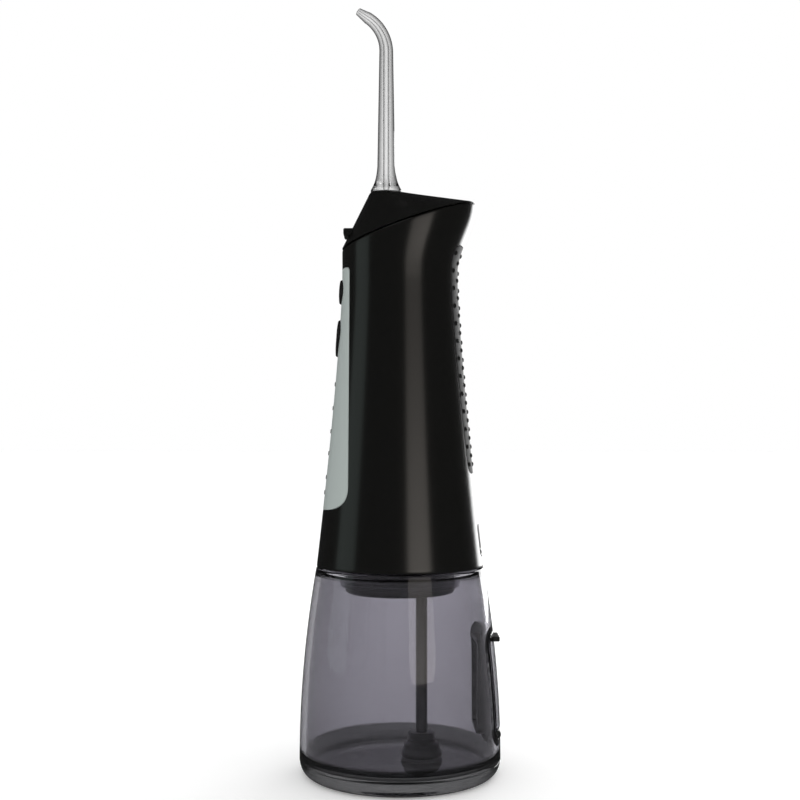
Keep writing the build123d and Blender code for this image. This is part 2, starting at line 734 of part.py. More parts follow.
def piston_rod():
    """Rod with a wide eye round the crank pin, and the piston on top."""
    half = SHANK_HALF
    shank = block(NOZZLE_X - half, NOZZLE_X + half, ROD_LOW, ROD_LOW + ROD_THICK, CROWN_Z, PISTON_LOW + 0.5)
    rod = rod_eye(ROD_BORE + ROD_RIM) + shank - rod_eye(ROD_BORE)
    rod += upright(PISTON_RADIUS - RUNNING, PISTON_LOW, PISTON_HIGH, NOZZLE_X)
    groove = PISTON_RADIUS - PISTON_GROOVE
    return rod - ring(PISTON_RADIUS + 1, groove, PISTON_SEAL_LOW, PISTON_SEAL_HIGH, NOZZLE_X)


def piston_seal():
    """Ring in the piston's groove."""
    groove = PISTON_RADIUS - PISTON_GROOVE
    return ring(PISTON_RADIUS - SEAL_NIP, groove, PISTON_SEAL_LOW, PISTON_SEAL_HIGH, NOZZLE_X)


def pump_cylinder():
    """Open-footed cylinder with a flange under the valve block."""
    outer = PISTON_RADIUS + CYLINDER_WALL
    tube = ring(outer, PISTON_RADIUS, CYLINDER_LOW, CYLINDER_HIGH, NOZZLE_X)
    flange = ring(outer + CYLINDER_FLANGE, PISTON_RADIUS, CYLINDER_HIGH - 1.5, CYLINDER_HIGH, NOZZLE_X)
    return tube + flange


def nipple(radius, x_low, x_high):
    """Round bar along X at the height of the pump's inlet."""
    return along_x(Pos(0, NIPPLE_Z) * Circle(radius), x_low, x_high)


def valve_block():
    """Head of the pump: inlet and outlet chambers, the inlet nipple and the nozzle's socket."""
    long, wide = PUMP_HEAD_HALF_LENGTH, PUMP_HEAD_HALF_WIDTH
    body = block(NOZZLE_X - long, NOZZLE_X + long, -wide, wide, HEAD_LOW, HEAD_TOP)
    body += upright(SOCKET_RADIUS, HEAD_TOP - 0.5, SOCKET_HIGH, NOZZLE_X)
    body += nipple(NIPPLE_RADIUS, NOZZLE_X + long - 0.2, NIPPLE_END)
    body -= upright(STEM_RADIUS + RUNNING, STEM_LOW - 1, FAR, NOZZLE_X)
    body -= upright(WATERWAY_RADIUS, HEAD_LOW, STEM_LOW, OUTLET_X)
    body -= nipple(WATERWAY_RADIUS - 0.1, INLET_X - 0.5, NIPPLE_END + 0.5)
    body -= upright(WATERWAY_RADIUS - 0.2, HEAD_LOW, NIPPLE_Z, INLET_X)
    for x, z in ((OUTLET_X, OUTLET_SEAT), (INLET_X, INLET_SEAT)):
        body -= upright(VALVE_RADIUS + VALVE_PLAY, z, z + VALVE_ROOM, x)
    return body


def outlet_valve():
    """Loose disc at the foot of the outlet's chamber."""
    low = OUTLET_SEAT + VALVE_PLAY
    return upright(VALVE_RADIUS, low, low + VALVE_THICK, OUTLET_X)


def inlet_valve():
    """Loose disc at the top of the inlet's chamber."""
    top = INLET_SEAT + VALVE_ROOM - VALVE_PLAY
    return upright(VALVE_RADIUS, top - VALVE_THICK, top, INLET_X)


def inlet_hose():
    """Soft tube from the dip tube's upper end, up past the battery, to the inlet nipple."""
    points = [
        (TUBE_X, 0, TUBE_HIGH),
        (TUBE_X, 0, TUBE_HIGH + 4),
        (HOSE_X, HOSE_Y, TUBE_HIGH + 12),
        (HOSE_X, HOSE_Y, NIPPLE_Z - 8),
        (NIPPLE_END + 2 * HOSE_BEND + 0.4, 0, NIPPLE_Z),
        (NIPPLE_END, 0, NIPPLE_Z),
    ]
    path = FilletPolyline(*points, radius=HOSE_BEND)
    start = Plane(path @ 0, z_dir=path % 0)
    return sweep(start * (Circle(HOSE_RADIUS) - Circle(HOSE_BORE)), path=path)


def battery_cell():
    """Round cell with a raised positive end."""
    top = BATTERY_LOW + BATTERY_LENGTH
    cell = upright(BATTERY_RADIUS, BATTERY_LOW, top, BATTERY_X, BATTERY_Y)
    cell = fillet(cell.edges().filter_by(GeomType.CIRCLE), 0.5)
    return cell + upright(BATTERY_NIB_RADIUS, top, top + BATTERY_NIB, BATTERY_X, BATTERY_Y)


def battery_cup():
    """Cup on the chassis foot that holds the cell's lower end."""
    bore = BATTERY_RADIUS + CUP_PLAY
    cup = upright(bore + CUP_WALL, FOOT_LOW + DECK_THICK, BATTERY_LOW + CUP_DEPTH, BATTERY_X, BATTERY_Y)
    cup -= upright(bore, BATTERY_LOW, FAR, BATTERY_X, BATTERY_Y)
    cup -= block(-REACH, REACH, -REACH, -1.0, 0, FAR)
    cup -= block(TUBE_X - 3, TUBE_X + 6.5, -REACH, 2.8, 0, BATTERY_LOW - 0.5)
    return cup & form(SHELL_WALL + 0.4)


def charge_socket():
    """Round-cornered power socket behind the port's cover."""
    middle = (PORT_LOW + PORT_HIGH) / 2
    front, rear, half_width = station(PORT_HIGH - HOUSING_Z)
    face = rear - SHELL_WALL - SOCKET_SET_BACK
    wide, tall = SOCKET_HALF_WIDTH, SOCKET_HALF_HEIGHT
    body = block(face - SOCKET_LENGTH, face, -wide, wide, middle - tall, middle + tall)
    hole = Pos(0, middle) * RectangleRounded(6.4, 3.0, 1.2)
    return body - along_x(hole, face - SOCKET_LENGTH + SOCKET_FLOOR, REACH)


# ---------------------------------------------------------------- housing foot


def base_plug():
    """Floor of the housing with the round plug that hangs into the tank's neck."""
    wide = 2 * HOUSING_RADIUS
    plate = block(-wide, wide, -wide, wide, HOUSING_Z, HOUSING_Z + PLATE_THICK)
    plate &= form(SHELL_WALL + CLEAR)
    groove, corner, top = PLUG_RADIUS - SEAL_DEPTH, PLUG_CORNER, HOUSING_Z + 0.5
    lines = [
        Line((0, PLUG_LOW), (PLUG_RADIUS - corner, PLUG_LOW)),
        RadiusArc((PLUG_RADIUS - corner, PLUG_LOW), (PLUG_RADIUS, PLUG_LOW + corner), -corner),
        Line((PLUG_RADIUS, PLUG_LOW + corner), (PLUG_RADIUS, SEAL_LOW)),
        Line((PLUG_RADIUS, SEAL_LOW), (groove, SEAL_LOW)),
        Line((groove, SEAL_LOW), (groove, SEAL_HIGH)),
        Line((groove, SEAL_HIGH), (PLUG_RADIUS, SEAL_HIGH)),
        Line((PLUG_RADIUS, SEAL_HIGH), (PLUG_RADIUS, top)),
        Line((PLUG_RADIUS, top), (0, top)),
        Line((0, top), (0, PLUG_LOW)),
    ]
    plug = plate + turned(Plane.XZ * make_face(lines))
    plug -= upright(groove - PLUG_WALL, PLUG_LOW + PLUG_WALL, 2 * REACH)
    plug += ring(TUBE_RADIUS + 1.6, TUBE_RADIUS, PLUG_LOW, HOUSING_Z, TUBE_X)
    for x, y in SCREW_PLACES:
        plug += ring(SCREW_POST_RADIUS, SCREW_RADIUS, PLUG_LOW + PLUG_WALL, FOOT_LOW, x, y)
    return plug - upright(TUBE_RADIUS, 0, FAR, TUBE_X)


def chassis_screw(x, y):
    """Pan-head screw through the chassis foot into the plug's post."""
    seat = FOOT_LOW + DECK_THICK
    head = upright(SCREW_HEAD_RADIUS, seat, seat + SCREW_HEAD_TALL, x, y)
    slot = block(x - 2.5, x + 2.5, y - 0.3, y + 0.3, seat + 0.8, FAR)
    return head - slot + upright(SCREW_RADIUS, FOOT_LOW - SCREW_LENGTH, seat, x, y)


def plug_seal():
    """Square-cut seal ring in the plug's groove."""
    return ring(NECK_RADIUS - CLEAR, PLUG_RADIUS - SEAL_DEPTH, SEAL_LOW, SEAL_HIGH)


def suction_tube():
    """Straight dip tube from the pump's hose down to the filter foot."""
    return ring(TUBE_RADIUS, TUBE_BORE, FOOT_TOP - FOOT_GRIP, TUBE_HIGH, TUBE_X)


def filter_foot():
    """Bell-shaped foot with two ridges that draws water near the tank's floor."""
    bore, top, low = TUBE_RADIUS, FOOT_TOP, FOOT_BOTTOM
    mouth, grip = FOOT_RADIUS - FOOT_RIM, FOOT_TOP - FOOT_GRIP
    corners = [
        (bore, top), (4.2, top), (4.6, top - 0.6), (4.6, top - 2.0), (5.3, top - 2.4), (5.0, top - 3.4),
        (6.0, top - 3.9), (6.4, low + 2.7), (FOOT_RADIUS, low + 1.3), (FOOT_RADIUS, low), (mouth, low),
        (mouth, low + 1.7), (bore + 1.2, grip), (bore, grip),
    ]
    lines = [Line(a, b) for a, b in zip(corners, corners[1:] + corners[:1])]
    return turned(Plane.XZ * make_face(lines), TUBE_X)


def filter_mesh():
    """Perforated disc in the foot's mouth."""
    low = FOOT_BOTTOM + 0.3
    disc = upright(FOOT_RADIUS - FOOT_RIM, low, low + MESH_THICK, TUBE_X)
    holes = [upright(MESH_HOLE_RADIUS, 0, FOOT_TOP, TUBE_X)]
    for count, radius in ((6, 1.9), (12, 3.8)):
        for i in range(count):
            a = 2 * pi * i / count
            holes.append(upright(MESH_HOLE_RADIUS, 0, FOOT_TOP, TUBE_X + radius * cos(a), radius * sin(a)))
    return disc - holes


# ---------------------------------------------------------------- nozzle, its seat and the latch


def nozzle():
    """Clear jet tip: stem with a seal groove, flared collar, tapered shaft and a bend towards the front."""
    flare_top = FLARE_LOW + FLARE_THICK
    corners = [
        (NOZZLE_FOOT_RADIUS, NOZZLE_FOOT), (BEND_LOW_RADIUS, BEND_LOW), (0, BEND_LOW), (0, STEM_LOW),
        (STEM_RADIUS, STEM_LOW), (STEM_RADIUS, GROOVE_LOW), (GROOVE_RADIUS, GROOVE_LOW),
        (GROOVE_RADIUS, GROOVE_HIGH), (STEM_RADIUS, GROOVE_HIGH), (STEM_RADIUS, FLARE_LOW),
        (FLARE_RADIUS, FLARE_LOW), (FLARE_RADIUS, flare_top),
    ]
    lines = [Line(a, b) for a, b in zip(corners, corners[1:])]
    lines.append(
        Bezier((FLARE_RADIUS, flare_top), (NOZZLE_FOOT_RADIUS + 0.7, flare_top + 2.85),
               (NOZZLE_FOOT_RADIUS + 0.3, flare_top + 5.35), (NOZZLE_FOOT_RADIUS, NOZZLE_FOOT))
    )
    straight = turned(Plane.XZ * make_face(lines), NOZZLE_X)
    arc = RadiusArc((NOZZLE_X, BEND_LOW), bend_end(), -BEND_ARC)
    path = Plane.XZ * arc
    foot = Plane((NOZZLE_X, 0, BEND_LOW))
    end = Plane(path @ 1, z_dir=path % 1)
    rings = [foot * Circle(BEND_LOW_RADIUS), end * Circle(BEND_END_RADIUS)]
    bend = sweep(rings, path=path, multisection=True)
    tip = loft([end * Circle(BEND_END_RADIUS), end.offset(TIP_LENGTH) * Circle(TIP_RADIUS)])
    bore = upright(BORE_RADIUS, STEM_LOW - 1, BEND_LOW, NOZZLE_X)
    bore += sweep([foot * Circle(BORE_RADIUS), end * Circle(TIP_BORE)], path=path, multisection=True)
    bore += extrude(end * Circle(TIP_BORE), TIP_LENGTH + 1)
    return straight + bend + tip - bore


def bend_end():
    """Where the bend's centre line ends, in X and Z."""
    turn = radians(BEND_TURN)
    return NOZZLE_X - BEND_ARC * (1 - cos(turn)), BEND_LOW + BEND_ARC * sin(turn)


def nozzle_seal():
    """Ring in the stem's groove."""
    return ring(STEM_RADIUS + SEAL_NIP, GROOVE_RADIUS, GROOVE_LOW, GROOVE_HIGH, NOZZLE_X)


def nozzle_seat():
    """Sleeve that the nozzle plugs into and turns with."""
    seat = upright(SEAT_RADIUS, SEAT_LOW, SEAT_STEP, NOZZLE_X)
    seat += upright(SEAT_NECK_RADIUS, SEAT_STEP, HOUSING_Z + RING_RISE, NOZZLE_X)
    return seat - upright(STEM_RADIUS + RUNNING, 0, FAR, NOZZLE_X)


def seat_retainer():
    """Ring under the seat that keeps it in the head's sleeve."""
    return ring(SLEEVE_RADIUS, STEM_RADIUS + 0.4, RETAINER_LOW, SEAT_LOW - SEAT_PLAY, NOZZLE_X)


def release_button():
    """Latch plate round the nozzle's stem, with the release tab at the front."""
    wide = LATCH_HALF_WIDTH
    plate = block(LATCH_FRONT, LATCH_REAR, -wide, wide, PLATE_LOW, PLATE_HIGH)
    plate = fillet(plate.edges().filter_by(Axis.Z), 2.0)
    bore = 2 * STEM_RADIUS + LATCH_PLAY
    hole = Pos(NOZZLE_X - LATCH_TRAVEL / 2, 0, PLATE_LOW) * extrude(
        SlotOverall(bore + LATCH_TRAVEL, bore), PLATE_HIGH - PLATE_LOW)
    tab = block(TAB_FRONT, TAB_ROOT, -TAB_HALF_WIDTH, TAB_HALF_WIDTH, TAB_LOW, TAB_HIGH)
    tab = fillet(tab.faces().sort_by(Axis.X)[0].edges(), TAB_ROUND)
    return plate - hole + tab


def release_spring():
    """Closed spring body that pushes the latch plate forwards."""
    outline = Pos(0, (PLATE_LOW + PLATE_HIGH) / 2) * Circle(SPRING_RADIUS)
    return along_x(outline, LATCH_REAR, LATCH_REAR + SPRING_LENGTH)


def spring_post():
    """Post on the socket's shoulder that carries the spring's rear end."""
    x = LATCH_REAR + SPRING_LENGTH
    wide = POST_HALF_WIDTH
    post = block(x, x + POST_THICK, -wide, wide, POST_LOW, PLATE_HIGH)
    start, end = NOZZLE_X + SOCKET_RADIUS - 0.6, x + POST_THICK
    bridge = block(start, end, -wide, wide, POST_LOW, POST_LOW + POST_THICK)
    return post + bridge - upright(SOCKET_RADIUS, 0, FAR, NOZZLE_X)


# ---------------------------------------------------------------- charging port cover


def port_hinge():
    """X and Z of the port cover's pin."""
    z = PORT_LOW + PORT_GAP + PORT_KNUCKLE
    front, rear, half_width = station(z - HOUSING_Z)
    return rear - PORT_KNUCKLE - 0.1, z


def charge_cover():
    """Small door over the charging port: a curved plate with a knuckle at its foot and a lift lip."""
    x, z = port_hinge()
    plate = layer(0, PORT_THICK - 0.2) & port_room(PORT_GAP)
    plate -= block(-REACH, REACH, -REACH, REACH, 0, z)
    for side in (-1, 1):
        plate -= Pos(0, side * (PORT_KNUCKLE_HALF + 2.0), z) * Box(2 * REACH, 4.4, 2 * PORT_KNUCKLE + 1.0)
    knuckle = along_y(PORT_KNUCKLE, x, z, -PORT_KNUCKLE_HALF, PORT_KNUCKLE_HALF)
    web = block(x, x + PORT_KNUCKLE, -PORT_KNUCKLE_HALF, PORT_KNUCKLE_HALF, z, z + 2 * PORT_KNUCKLE)
    web &= form(0.05)
    plug = port_room(PORT_LEDGE + PORT_GAP + 0.3) & layer(PORT_THICK - 0.3, SHELL_WALL + 0.6)
    plug -= block(-REACH, REACH, -REACH, REACH, 0, z + 2 * PORT_KNUCKLE + 0.4)
    cover = plate + knuckle + web + plug
    return cover - along_y(PORT_PIN_RADIUS + RUNNING, x, z, -REACH, REACH)


def charge_cover_pin():
    """Steel pin through the cover's knuckle and the shell's lugs."""
    x, z = port_hinge()
    half = PORT_KNUCKLE_HALF + PORT_LUG_WIDTH
    return along_y(PORT_PIN_RADIUS, x, z, -half, half)


def add_port_hinge(shell):
    """Shell with a pocket for the port cover's knuckle and a pair of lugs that hold its pin."""
    x, z = port_hinge()
    inner = PORT_KNUCKLE_HALF + 0.2
    outer = inner + PORT_LUG_WIDTH
    shell -= along_y(PORT_KNUCKLE * sqrt(2) + 0.2, x, z, -inner, inner)
    for side in (-1, 1):
        low, high = sorted((side * inner, side * outer))
        lug = along_y(PORT_KNUCKLE, x, z, low, high)
        shell += lug + block(x - 2.0, x, low, high, z - PORT_KNUCKLE - 1.0, z + PORT_KNUCKLE)
    return shell - along_y(PORT_PIN_RADIUS, x, z, -outer, outer)


# ---------------------------------------------------------------- tank


def tank_form(inset, low, high):
    """The tank's outer form turned about Z, moved in by inset, from low to high."""
    side = tank_outline(inset, BASE_HEIGHT, TANK_HEIGHT)
    top_radius, foot_radius = SHOULDER_RADIUS - inset, TANK_RADIUS - inset
    lines = [
        side,
        Line((top_radius, TANK_HEIGHT), (0, TANK_HEIGHT)),
        Line((0, TANK_HEIGHT), (0, BASE_HEIGHT)),
        Line((0, BASE_HEIGHT), (foot_radius, BASE_HEIGHT)),
    ]
    solid = turned(Plane.XZ * make_face(lines))
    reach = 2 * TANK_RADIUS
    return solid & block(-reach, reach, -reach, reach, low, high)


def tank_radius_at(z):
    """Outer radius of the tank at a height, from the side curve's own formula."""
    t = (z - BASE_HEIGHT) / (TANK_HEIGHT - BASE_HEIGHT)
    return TANK_RADIUS + (SHOULDER_RADIUS - TANK_RADIUS) * t * t


def door_outline(margin):
    """Rounded rectangle of the fill door, in Y and Z, grown by margin."""
    height = DOOR_HIGH - DOOR_LOW
    outline = RectangleRounded(
        2 * (DOOR_HALF_WIDTH + margin), height + 2 * margin, DOOR_CORNER + margin
    )
    return Pos(0, (DOOR_LOW + DOOR_HIGH) / 2) * outline


def tank_wall():
    """Clear side wall with its shoulder, neck collar and fill opening."""
    body = tank_form(0, BASE_HEIGHT, TANK_HEIGHT)
    body -= tank_form(TANK_WALL, BASE_HEIGHT, TANK_INNER_TOP)
    body -= upright(NECK_RADIUS, TANK_INNER_TOP - 1, TANK_HEIGHT + 1)
    body += ring(NECK_RADIUS + NECK_WALL, NECK_RADIUS, TANK_HEIGHT - NECK_DEPTH, TANK_INNER_TOP + 0.5)
    return body - door_prism(DOOR_GAP)


def tank_base():
    """Bottom of the tank: a rounded rim with a standing ring, a raised floor and a welding step."""
    inner = TANK_RADIUS - TANK_WALL
    step = inner - CLEAR
    foot = TANK_RADIUS - BASE_CORNER
    profile = [
        Line((0, BASE_RECESS), (foot - STANDING_RING, BASE_RECESS)),
        Line((foot - STANDING_RING, BASE_RECESS), (foot - STANDING_RING, 0)),
        Line((foot - STANDING_RING, 0), (foot, 0)),
        Bezier((foot, 0), (TANK_RADIUS - 0.6, 0), (TANK_RADIUS, BASE_HEIGHT)),
        Line((TANK_RADIUS, BASE_HEIGHT), (step, BASE_HEIGHT)),
        Line((step, BASE_HEIGHT), (step, FLOOR_TOP + 3.0)),
        Bezier((step, FLOOR_TOP + 3.0), (step - 0.6, FLOOR_TOP), (step - 4.0, FLOOR_TOP)),
        Line((step - 4.0, FLOOR_TOP), (0, FLOOR_TOP)),
        Line((0, FLOOR_TOP), (0, BASE_RECESS)),
    ]
    return turned(Plane.XZ * make_face(profile))


def door_prism(margin):
    """Room of the fill door, grown by margin."""
    return along_x(door_outline(margin), 0, 2 * TANK_RADIUS)


def tank_layer(outer, inner):
    """Skin of the tank's form between two insets."""
    return tank_form(outer, BASE_HEIGHT, TANK_HEIGHT) - tank_form(inner, BASE_HEIGHT - 1, TANK_HEIGHT + 1)


def door_hinge():
    """X and Z of the fill door's pin."""
    z = DOOR_LOW + KNUCKLE_RADIUS
    return tank_radius_at(z) - KNUCKLE_RADIUS - KNUCKLE_SINK, z


def swept_clear(extra):
    """Room that the fill door's knuckle and web need as they turn about the pin."""
    x, z = door_hinge()
    return along_y(KNUCKLE_RADIUS * sqrt(2) + extra, x, z, -KNUCKLE_HALF - LUG_GAP, KNUCKLE_HALF + LUG_GAP)


def fill_port_frame():
    """Dark frame in the tank's opening: a door seat, a lap inside the wall, a deep mouth and lugs."""
    x, z = door_hinge()
    mouth = door_prism(-MOUTH_INSET)
    seat = tank_layer(DOOR_THICK + DOOR_SEAT, TANK_WALL + FRAME_THICK) & door_prism(DOOR_GAP)
    lap = tank_layer(TANK_WALL, TANK_WALL + FRAME_THICK) & door_prism(FRAME_LAP)
    funnel = door_prism(FRAME_THICK - MOUTH_INSET) & tank_form(TANK_WALL, BASE_HEIGHT, TANK_HEIGHT)
    funnel &= block(FRAME_DEEP_X, REACH, -REACH, REACH, 0, TANK_HEIGHT)
    half = FRAME_BED_HALF
    bed = block(x - FRAME_BED_DEPTH, x, -half, half, DOOR_LOW - DOOR_GAP, z + 3.0) & door_prism(DOOR_GAP)
    bed &= tank_form(TANK_WALL, BASE_HEIGHT, TANK_HEIGHT)
    frame = seat + lap + funnel + bed - mouth
    for side in (-1, 1):
        inner = KNUCKLE_HALF + LUG_GAP
        low, high = sorted((side * inner, side * (inner + LUG_WIDTH)))
        lug = along_y(KNUCKLE_RADIUS, x, z, low, high)
        frame += lug + block(x - 3.2, x, low, high, z - KNUCKLE_RADIUS, z + KNUCKLE_RADIUS)
    frame -= swept_clear(0.15)
    return frame - along_y(DOOR_PIN_RADIUS, x, z, -REACH, REACH)


def fill_door():
    """Flush door of the fill opening: a curved plate with a knuckle at its foot and a pull ridge on top."""
    x, z = door_hinge()
    plate = tank_layer(0, DOOR_THICK) & door_prism(0)
    plate -= block(0, REACH, -REACH, REACH, 0, z + KNUCKLE_RADIUS + 0.5)
    knuckle = along_y(KNUCKLE_RADIUS, x, z, -KNUCKLE_HALF, KNUCKLE_HALF)
    web = block(x, x + KNUCKLE_RADIUS, -KNUCKLE_HALF, KNUCKLE_HALF, z, z + 2 * KNUCKLE_RADIUS)
    pull_z = DOOR_HIGH - DOOR_CORNER / 2
    pull = block(tank_radius_at(pull_z) - 1.0, PULL_REACH, -PULL_HALF_WIDTH, PULL_HALF_WIDTH,
                 pull_z - PULL_HEIGHT / 2, pull_z + PULL_HEIGHT / 2)
    pull = fillet(pull.faces().sort_by(Axis.X)[-1].edges(), 0.5)
    door = plate + knuckle + (web & tank_form(0, BASE_HEIGHT, TANK_HEIGHT)) + pull
    return door - along_y(DOOR_PIN_RADIUS + RUNNING, x, z, -REACH, REACH)


def fill_door_gasket():
    """Soft plug on the door's inner face that fills the frame's mouth."""
    x, z = door_hinge()
    outline = door_prism(-MOUTH_INSET - PLUG_INSET)
    plug = tank_layer(DOOR_THICK, DOOR_THICK + PLUG_DEPTH) & outline
    return plug - block(0, REACH, -REACH, REACH, 0, z + 2 * KNUCKLE_RADIUS + 0.1)


def fill_door_pin():
    """Pin through the door's knuckle and the frame's lugs."""
    x, z = door_hinge()
    half = KNUCKLE_HALF + LUG_GAP + LUG_WIDTH
    return along_y(DOOR_PIN_RADIUS, x, z, -half, half)


# ---------------------------------------------------------------- export

PIECES = {
    "main_shell": main_shell,
    "head_cover": head_cover,
    "panel_plate": panel_plate,
    "button_gasket": button_gasket,
    "light_pipes": light_pipes,
    "rear_grip": rear_grip,
    "charge_cover": charge_cover,
    "charge_cover_pin": charge_cover_pin,
    "charge_socket": charge_socket,
    "circuit_board": circuit_board,
    "board_lights": board_lights,
    "chassis_frame": chassis_frame,
    "motor_can": motor_can,
    "motor_end_cap": motor_end_cap,
    "motor_pinion": motor_pinion,
    "crown_gear": crown_gear,
    "piston_rod": piston_rod,
    "piston_seal": piston_seal,
    "pump_cylinder": pump_cylinder,
    "valve_block": valve_block,
    "outlet_valve": outlet_valve,
    "inlet_valve": inlet_valve,
    "inlet_hose": inlet_hose,
    "battery_cell": battery_cell,
    "battery_cup": battery_cup,
    "base_plug": base_plug,
    "plug_seal": plug_seal,
    "suction_tube": suction_tube,
    "filter_foot": filter_foot,
    "filter_mesh": filter_mesh,
    "nozzle": nozzle,
    "nozzle_seal": nozzle_seal,
    "nozzle_seat": nozzle_seat,
    "seat_retainer": seat_retainer,
    "release_button": release_button,
    "release_spring": release_spring,
    "spring_post": spring_post,
    "tank_wall": tank_wall,
    "tank_base": tank_base,
    "fill_port_frame": fill_port_frame,
    "fill_door": fill_door,
    "fill_door_gasket": fill_door_gasket,
    "fill_door_pin": fill_door_pin,
}


def all_pieces():
    """Every piece by its node name."""
    pieces = {name: make() for name, make in PIECES.items()}
    for name in BUTTONS:
        pieces[name] = button(name)
        pieces[name.replace("button", "switch")] = switch(BUTTON_HEIGHTS[name])
    for number, (x, y) in enumerate(SCREW_PLACES, 1):
        pieces[f"chassis_screw_{number}"] = chassis_screw(x, y)
    return pieces


if __name__ == "__main__":
    os.makedirs("parts", exist_ok=True)
    for name, piece in all_pieces().items():
        export_step(piece, f"parts/{name}.step")
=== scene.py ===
"""Cordless water flosser: a black tapered grip with a sloping head and a clear jet nozzle, on a smoked
tank.

Sizes here are millimetres, taken to metres as each mesh is made. +Z is up and -X is the front.
"""

from math import radians

import bmesh
import bpy
import numpy as np
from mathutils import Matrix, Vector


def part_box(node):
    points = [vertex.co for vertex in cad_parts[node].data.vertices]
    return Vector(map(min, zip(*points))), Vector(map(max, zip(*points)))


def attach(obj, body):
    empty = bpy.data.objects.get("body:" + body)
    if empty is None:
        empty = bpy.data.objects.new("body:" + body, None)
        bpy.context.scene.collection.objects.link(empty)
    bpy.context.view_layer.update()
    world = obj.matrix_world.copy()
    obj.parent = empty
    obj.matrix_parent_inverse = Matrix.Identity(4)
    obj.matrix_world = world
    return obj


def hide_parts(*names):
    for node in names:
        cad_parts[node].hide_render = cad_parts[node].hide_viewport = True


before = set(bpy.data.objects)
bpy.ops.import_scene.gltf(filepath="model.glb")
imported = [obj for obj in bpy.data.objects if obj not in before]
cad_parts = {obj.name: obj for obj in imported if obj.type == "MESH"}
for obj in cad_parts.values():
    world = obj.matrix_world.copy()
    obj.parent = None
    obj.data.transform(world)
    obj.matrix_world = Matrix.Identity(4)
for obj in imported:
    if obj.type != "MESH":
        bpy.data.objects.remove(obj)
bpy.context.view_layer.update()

# ---------------------------------------------------------------- smoked tank
# Two clear, grey-tinted mouldings welded at a fine line near the foot: the tapering wall with its inward
# collar for the plug, and the base with a standing ring and a recess. The rear has the fill door's opening.

MM = 0.001
COLLAR_RADIUS = 20.0
COLLAR_WALL = 1.4
COLLAR_DROP = 6.6
TANK_WALL = 2.2
TANK_SHOULDER = 1.8
SHOULDER_DRAW = 5.8
WELD_Z = 5.4
FOOT_ROUND = 5.0
RING_WIDTH = 3.2
RECESS = 2.4
FLOOR_Z = 5.2
DOOR_EDGE_GAP = 0.3
DOOR_PUNCH_NEAR, DOOR_PUNCH_FAR = 25.0, 40.0
WELD_DISTANCE = 1e-7
ACRYLIC_INDEX = 1.49
MIX_COLOUR_A, MIX_COLOUR_B, MIX_COLOUR_OUT = 6, 7, 2


def reach(node, end, axis):
    """A node's lowest (end 0) or highest (end 1) coordinate along an axis, in millimetres."""
    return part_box(node)[end][axis] / MM


def finish_mesh(piece, crisp=38.0):
    """Smooth shading everywhere but at edges that turn by more than crisp degrees."""
    piece.data.polygons.foreach_set("use_smooth", np.ones(len(piece.data.polygons), bool))
    piece.data.set_sharp_from_angle(angle=radians(crisp))


def quad_piece(name, points, quads, fill_holes=False):
    """Piece made of quads over points in millimetres, welded where points meet, with its faces turned
    outwards. With fill_holes, each open ring of edges is closed by a face."""
    mesh = bpy.data.meshes.new(name)
    mesh.from_pydata(points.reshape(-1, 3) * MM, [], quads.reshape(-1, 4))
    work = bmesh.new()
    work.from_mesh(mesh)
    bmesh.ops.remove_doubles(work, verts=work.verts, dist=WELD_DISTANCE)
    if fill_holes:
        bmesh.ops.holes_fill(work, edges=work.edges)
    bmesh.ops.recalc_face_normals(work, faces=work.faces)
    work.to_mesh(mesh)
    work.free()
    piece = bpy.data.objects.new(name, mesh)
    bpy.context.scene.collection.objects.link(piece)
    finish_mesh(piece)
    return piece


def skin_over(name, loops, closed=True):
    """Quads over a stack of closed rings, given as (rings, points, 3). The last ring joins the first when
    closed. Rings that have shrunk to a point or a line are welded there, and the faces turned outwards."""
    rings, count = loops.shape[:2]
    ring = np.arange(rings if closed else rings - 1)[:, None]
    step = np.arange(count)[None, :]
    after, beside = (ring + 1) % rings, (step + 1) % count
    corners = ring * count + step, ring * count + beside, after * count + beside, after * count + step
    return quad_piece(name, loops, np.stack(np.broadcast_arrays(*corners), -1))


def bezier(*poles, count=16):
    """Points along a Bezier curve, by repeated linear mixing of its poles."""
    t = np.linspace(0, 1, count)[:, None]
    rows = [np.broadcast_to(np.array(p, float), (count, len(p))) for p in poles]
    while len(rows) > 1:
        rows = [a + (b - a) * t for a, b in zip(rows, rows[1:])]
    return rows[0]


def eased(*corners, count=6):
    """Polyline through (across, up, ease) corners, each replaced by a short Bezier that starts and ends
    ease away from it along its two sides."""
    spots = np.array([c[:2] for c in corners], float)
    out = [spots[:1]]
    for before, here, after, corner in zip(spots, spots[1:], spots[2:], corners[1:]):
        ease = corner[2] if len(corner) > 2 else 0.0
        if ease == 0.0:
            out.append(here[None])
            continue
        start = here + (before - here) / np.linalg.norm(before - here) * ease
        end = here + (after - here) / np.linalg.norm(after - here) * ease
        out.append(bezier(start, here, end, count=count))
    return np.concatenate(out + [spots[-1:]])


def turned(name, profile, x=0.0, count=192, closed=True):
    """Turned piece: each (radius, height) point of the profile goes round an upright axis at x."""
    angle = np.linspace(0, 2 * np.pi, count, endpoint=False)
    radius, height = np.array(profile).T
    loops = np.empty((len(profile), count, 3))
    loops[..., 0] = x + radius[:, None] * np.cos(angle)
    loops[..., 1] = radius[:, None] * np.sin(angle)
    loops[..., 2] = height[:, None]
    return skin_over(name, loops, closed)


TANK_TOP = reach("tank_wall", 1, 2)
TANK_RADIUS = reach("tank_wall", 1, 0)


def tank_radius(z, inset=0.0):
    """Wall radius: it falls from the foot's by the square of the way up to the shoulder."""
    return TANK_RADIUS - inset - SHOULDER_DRAW * ((z - WELD_Z) / (TANK_TOP - WELD_Z)) ** 2


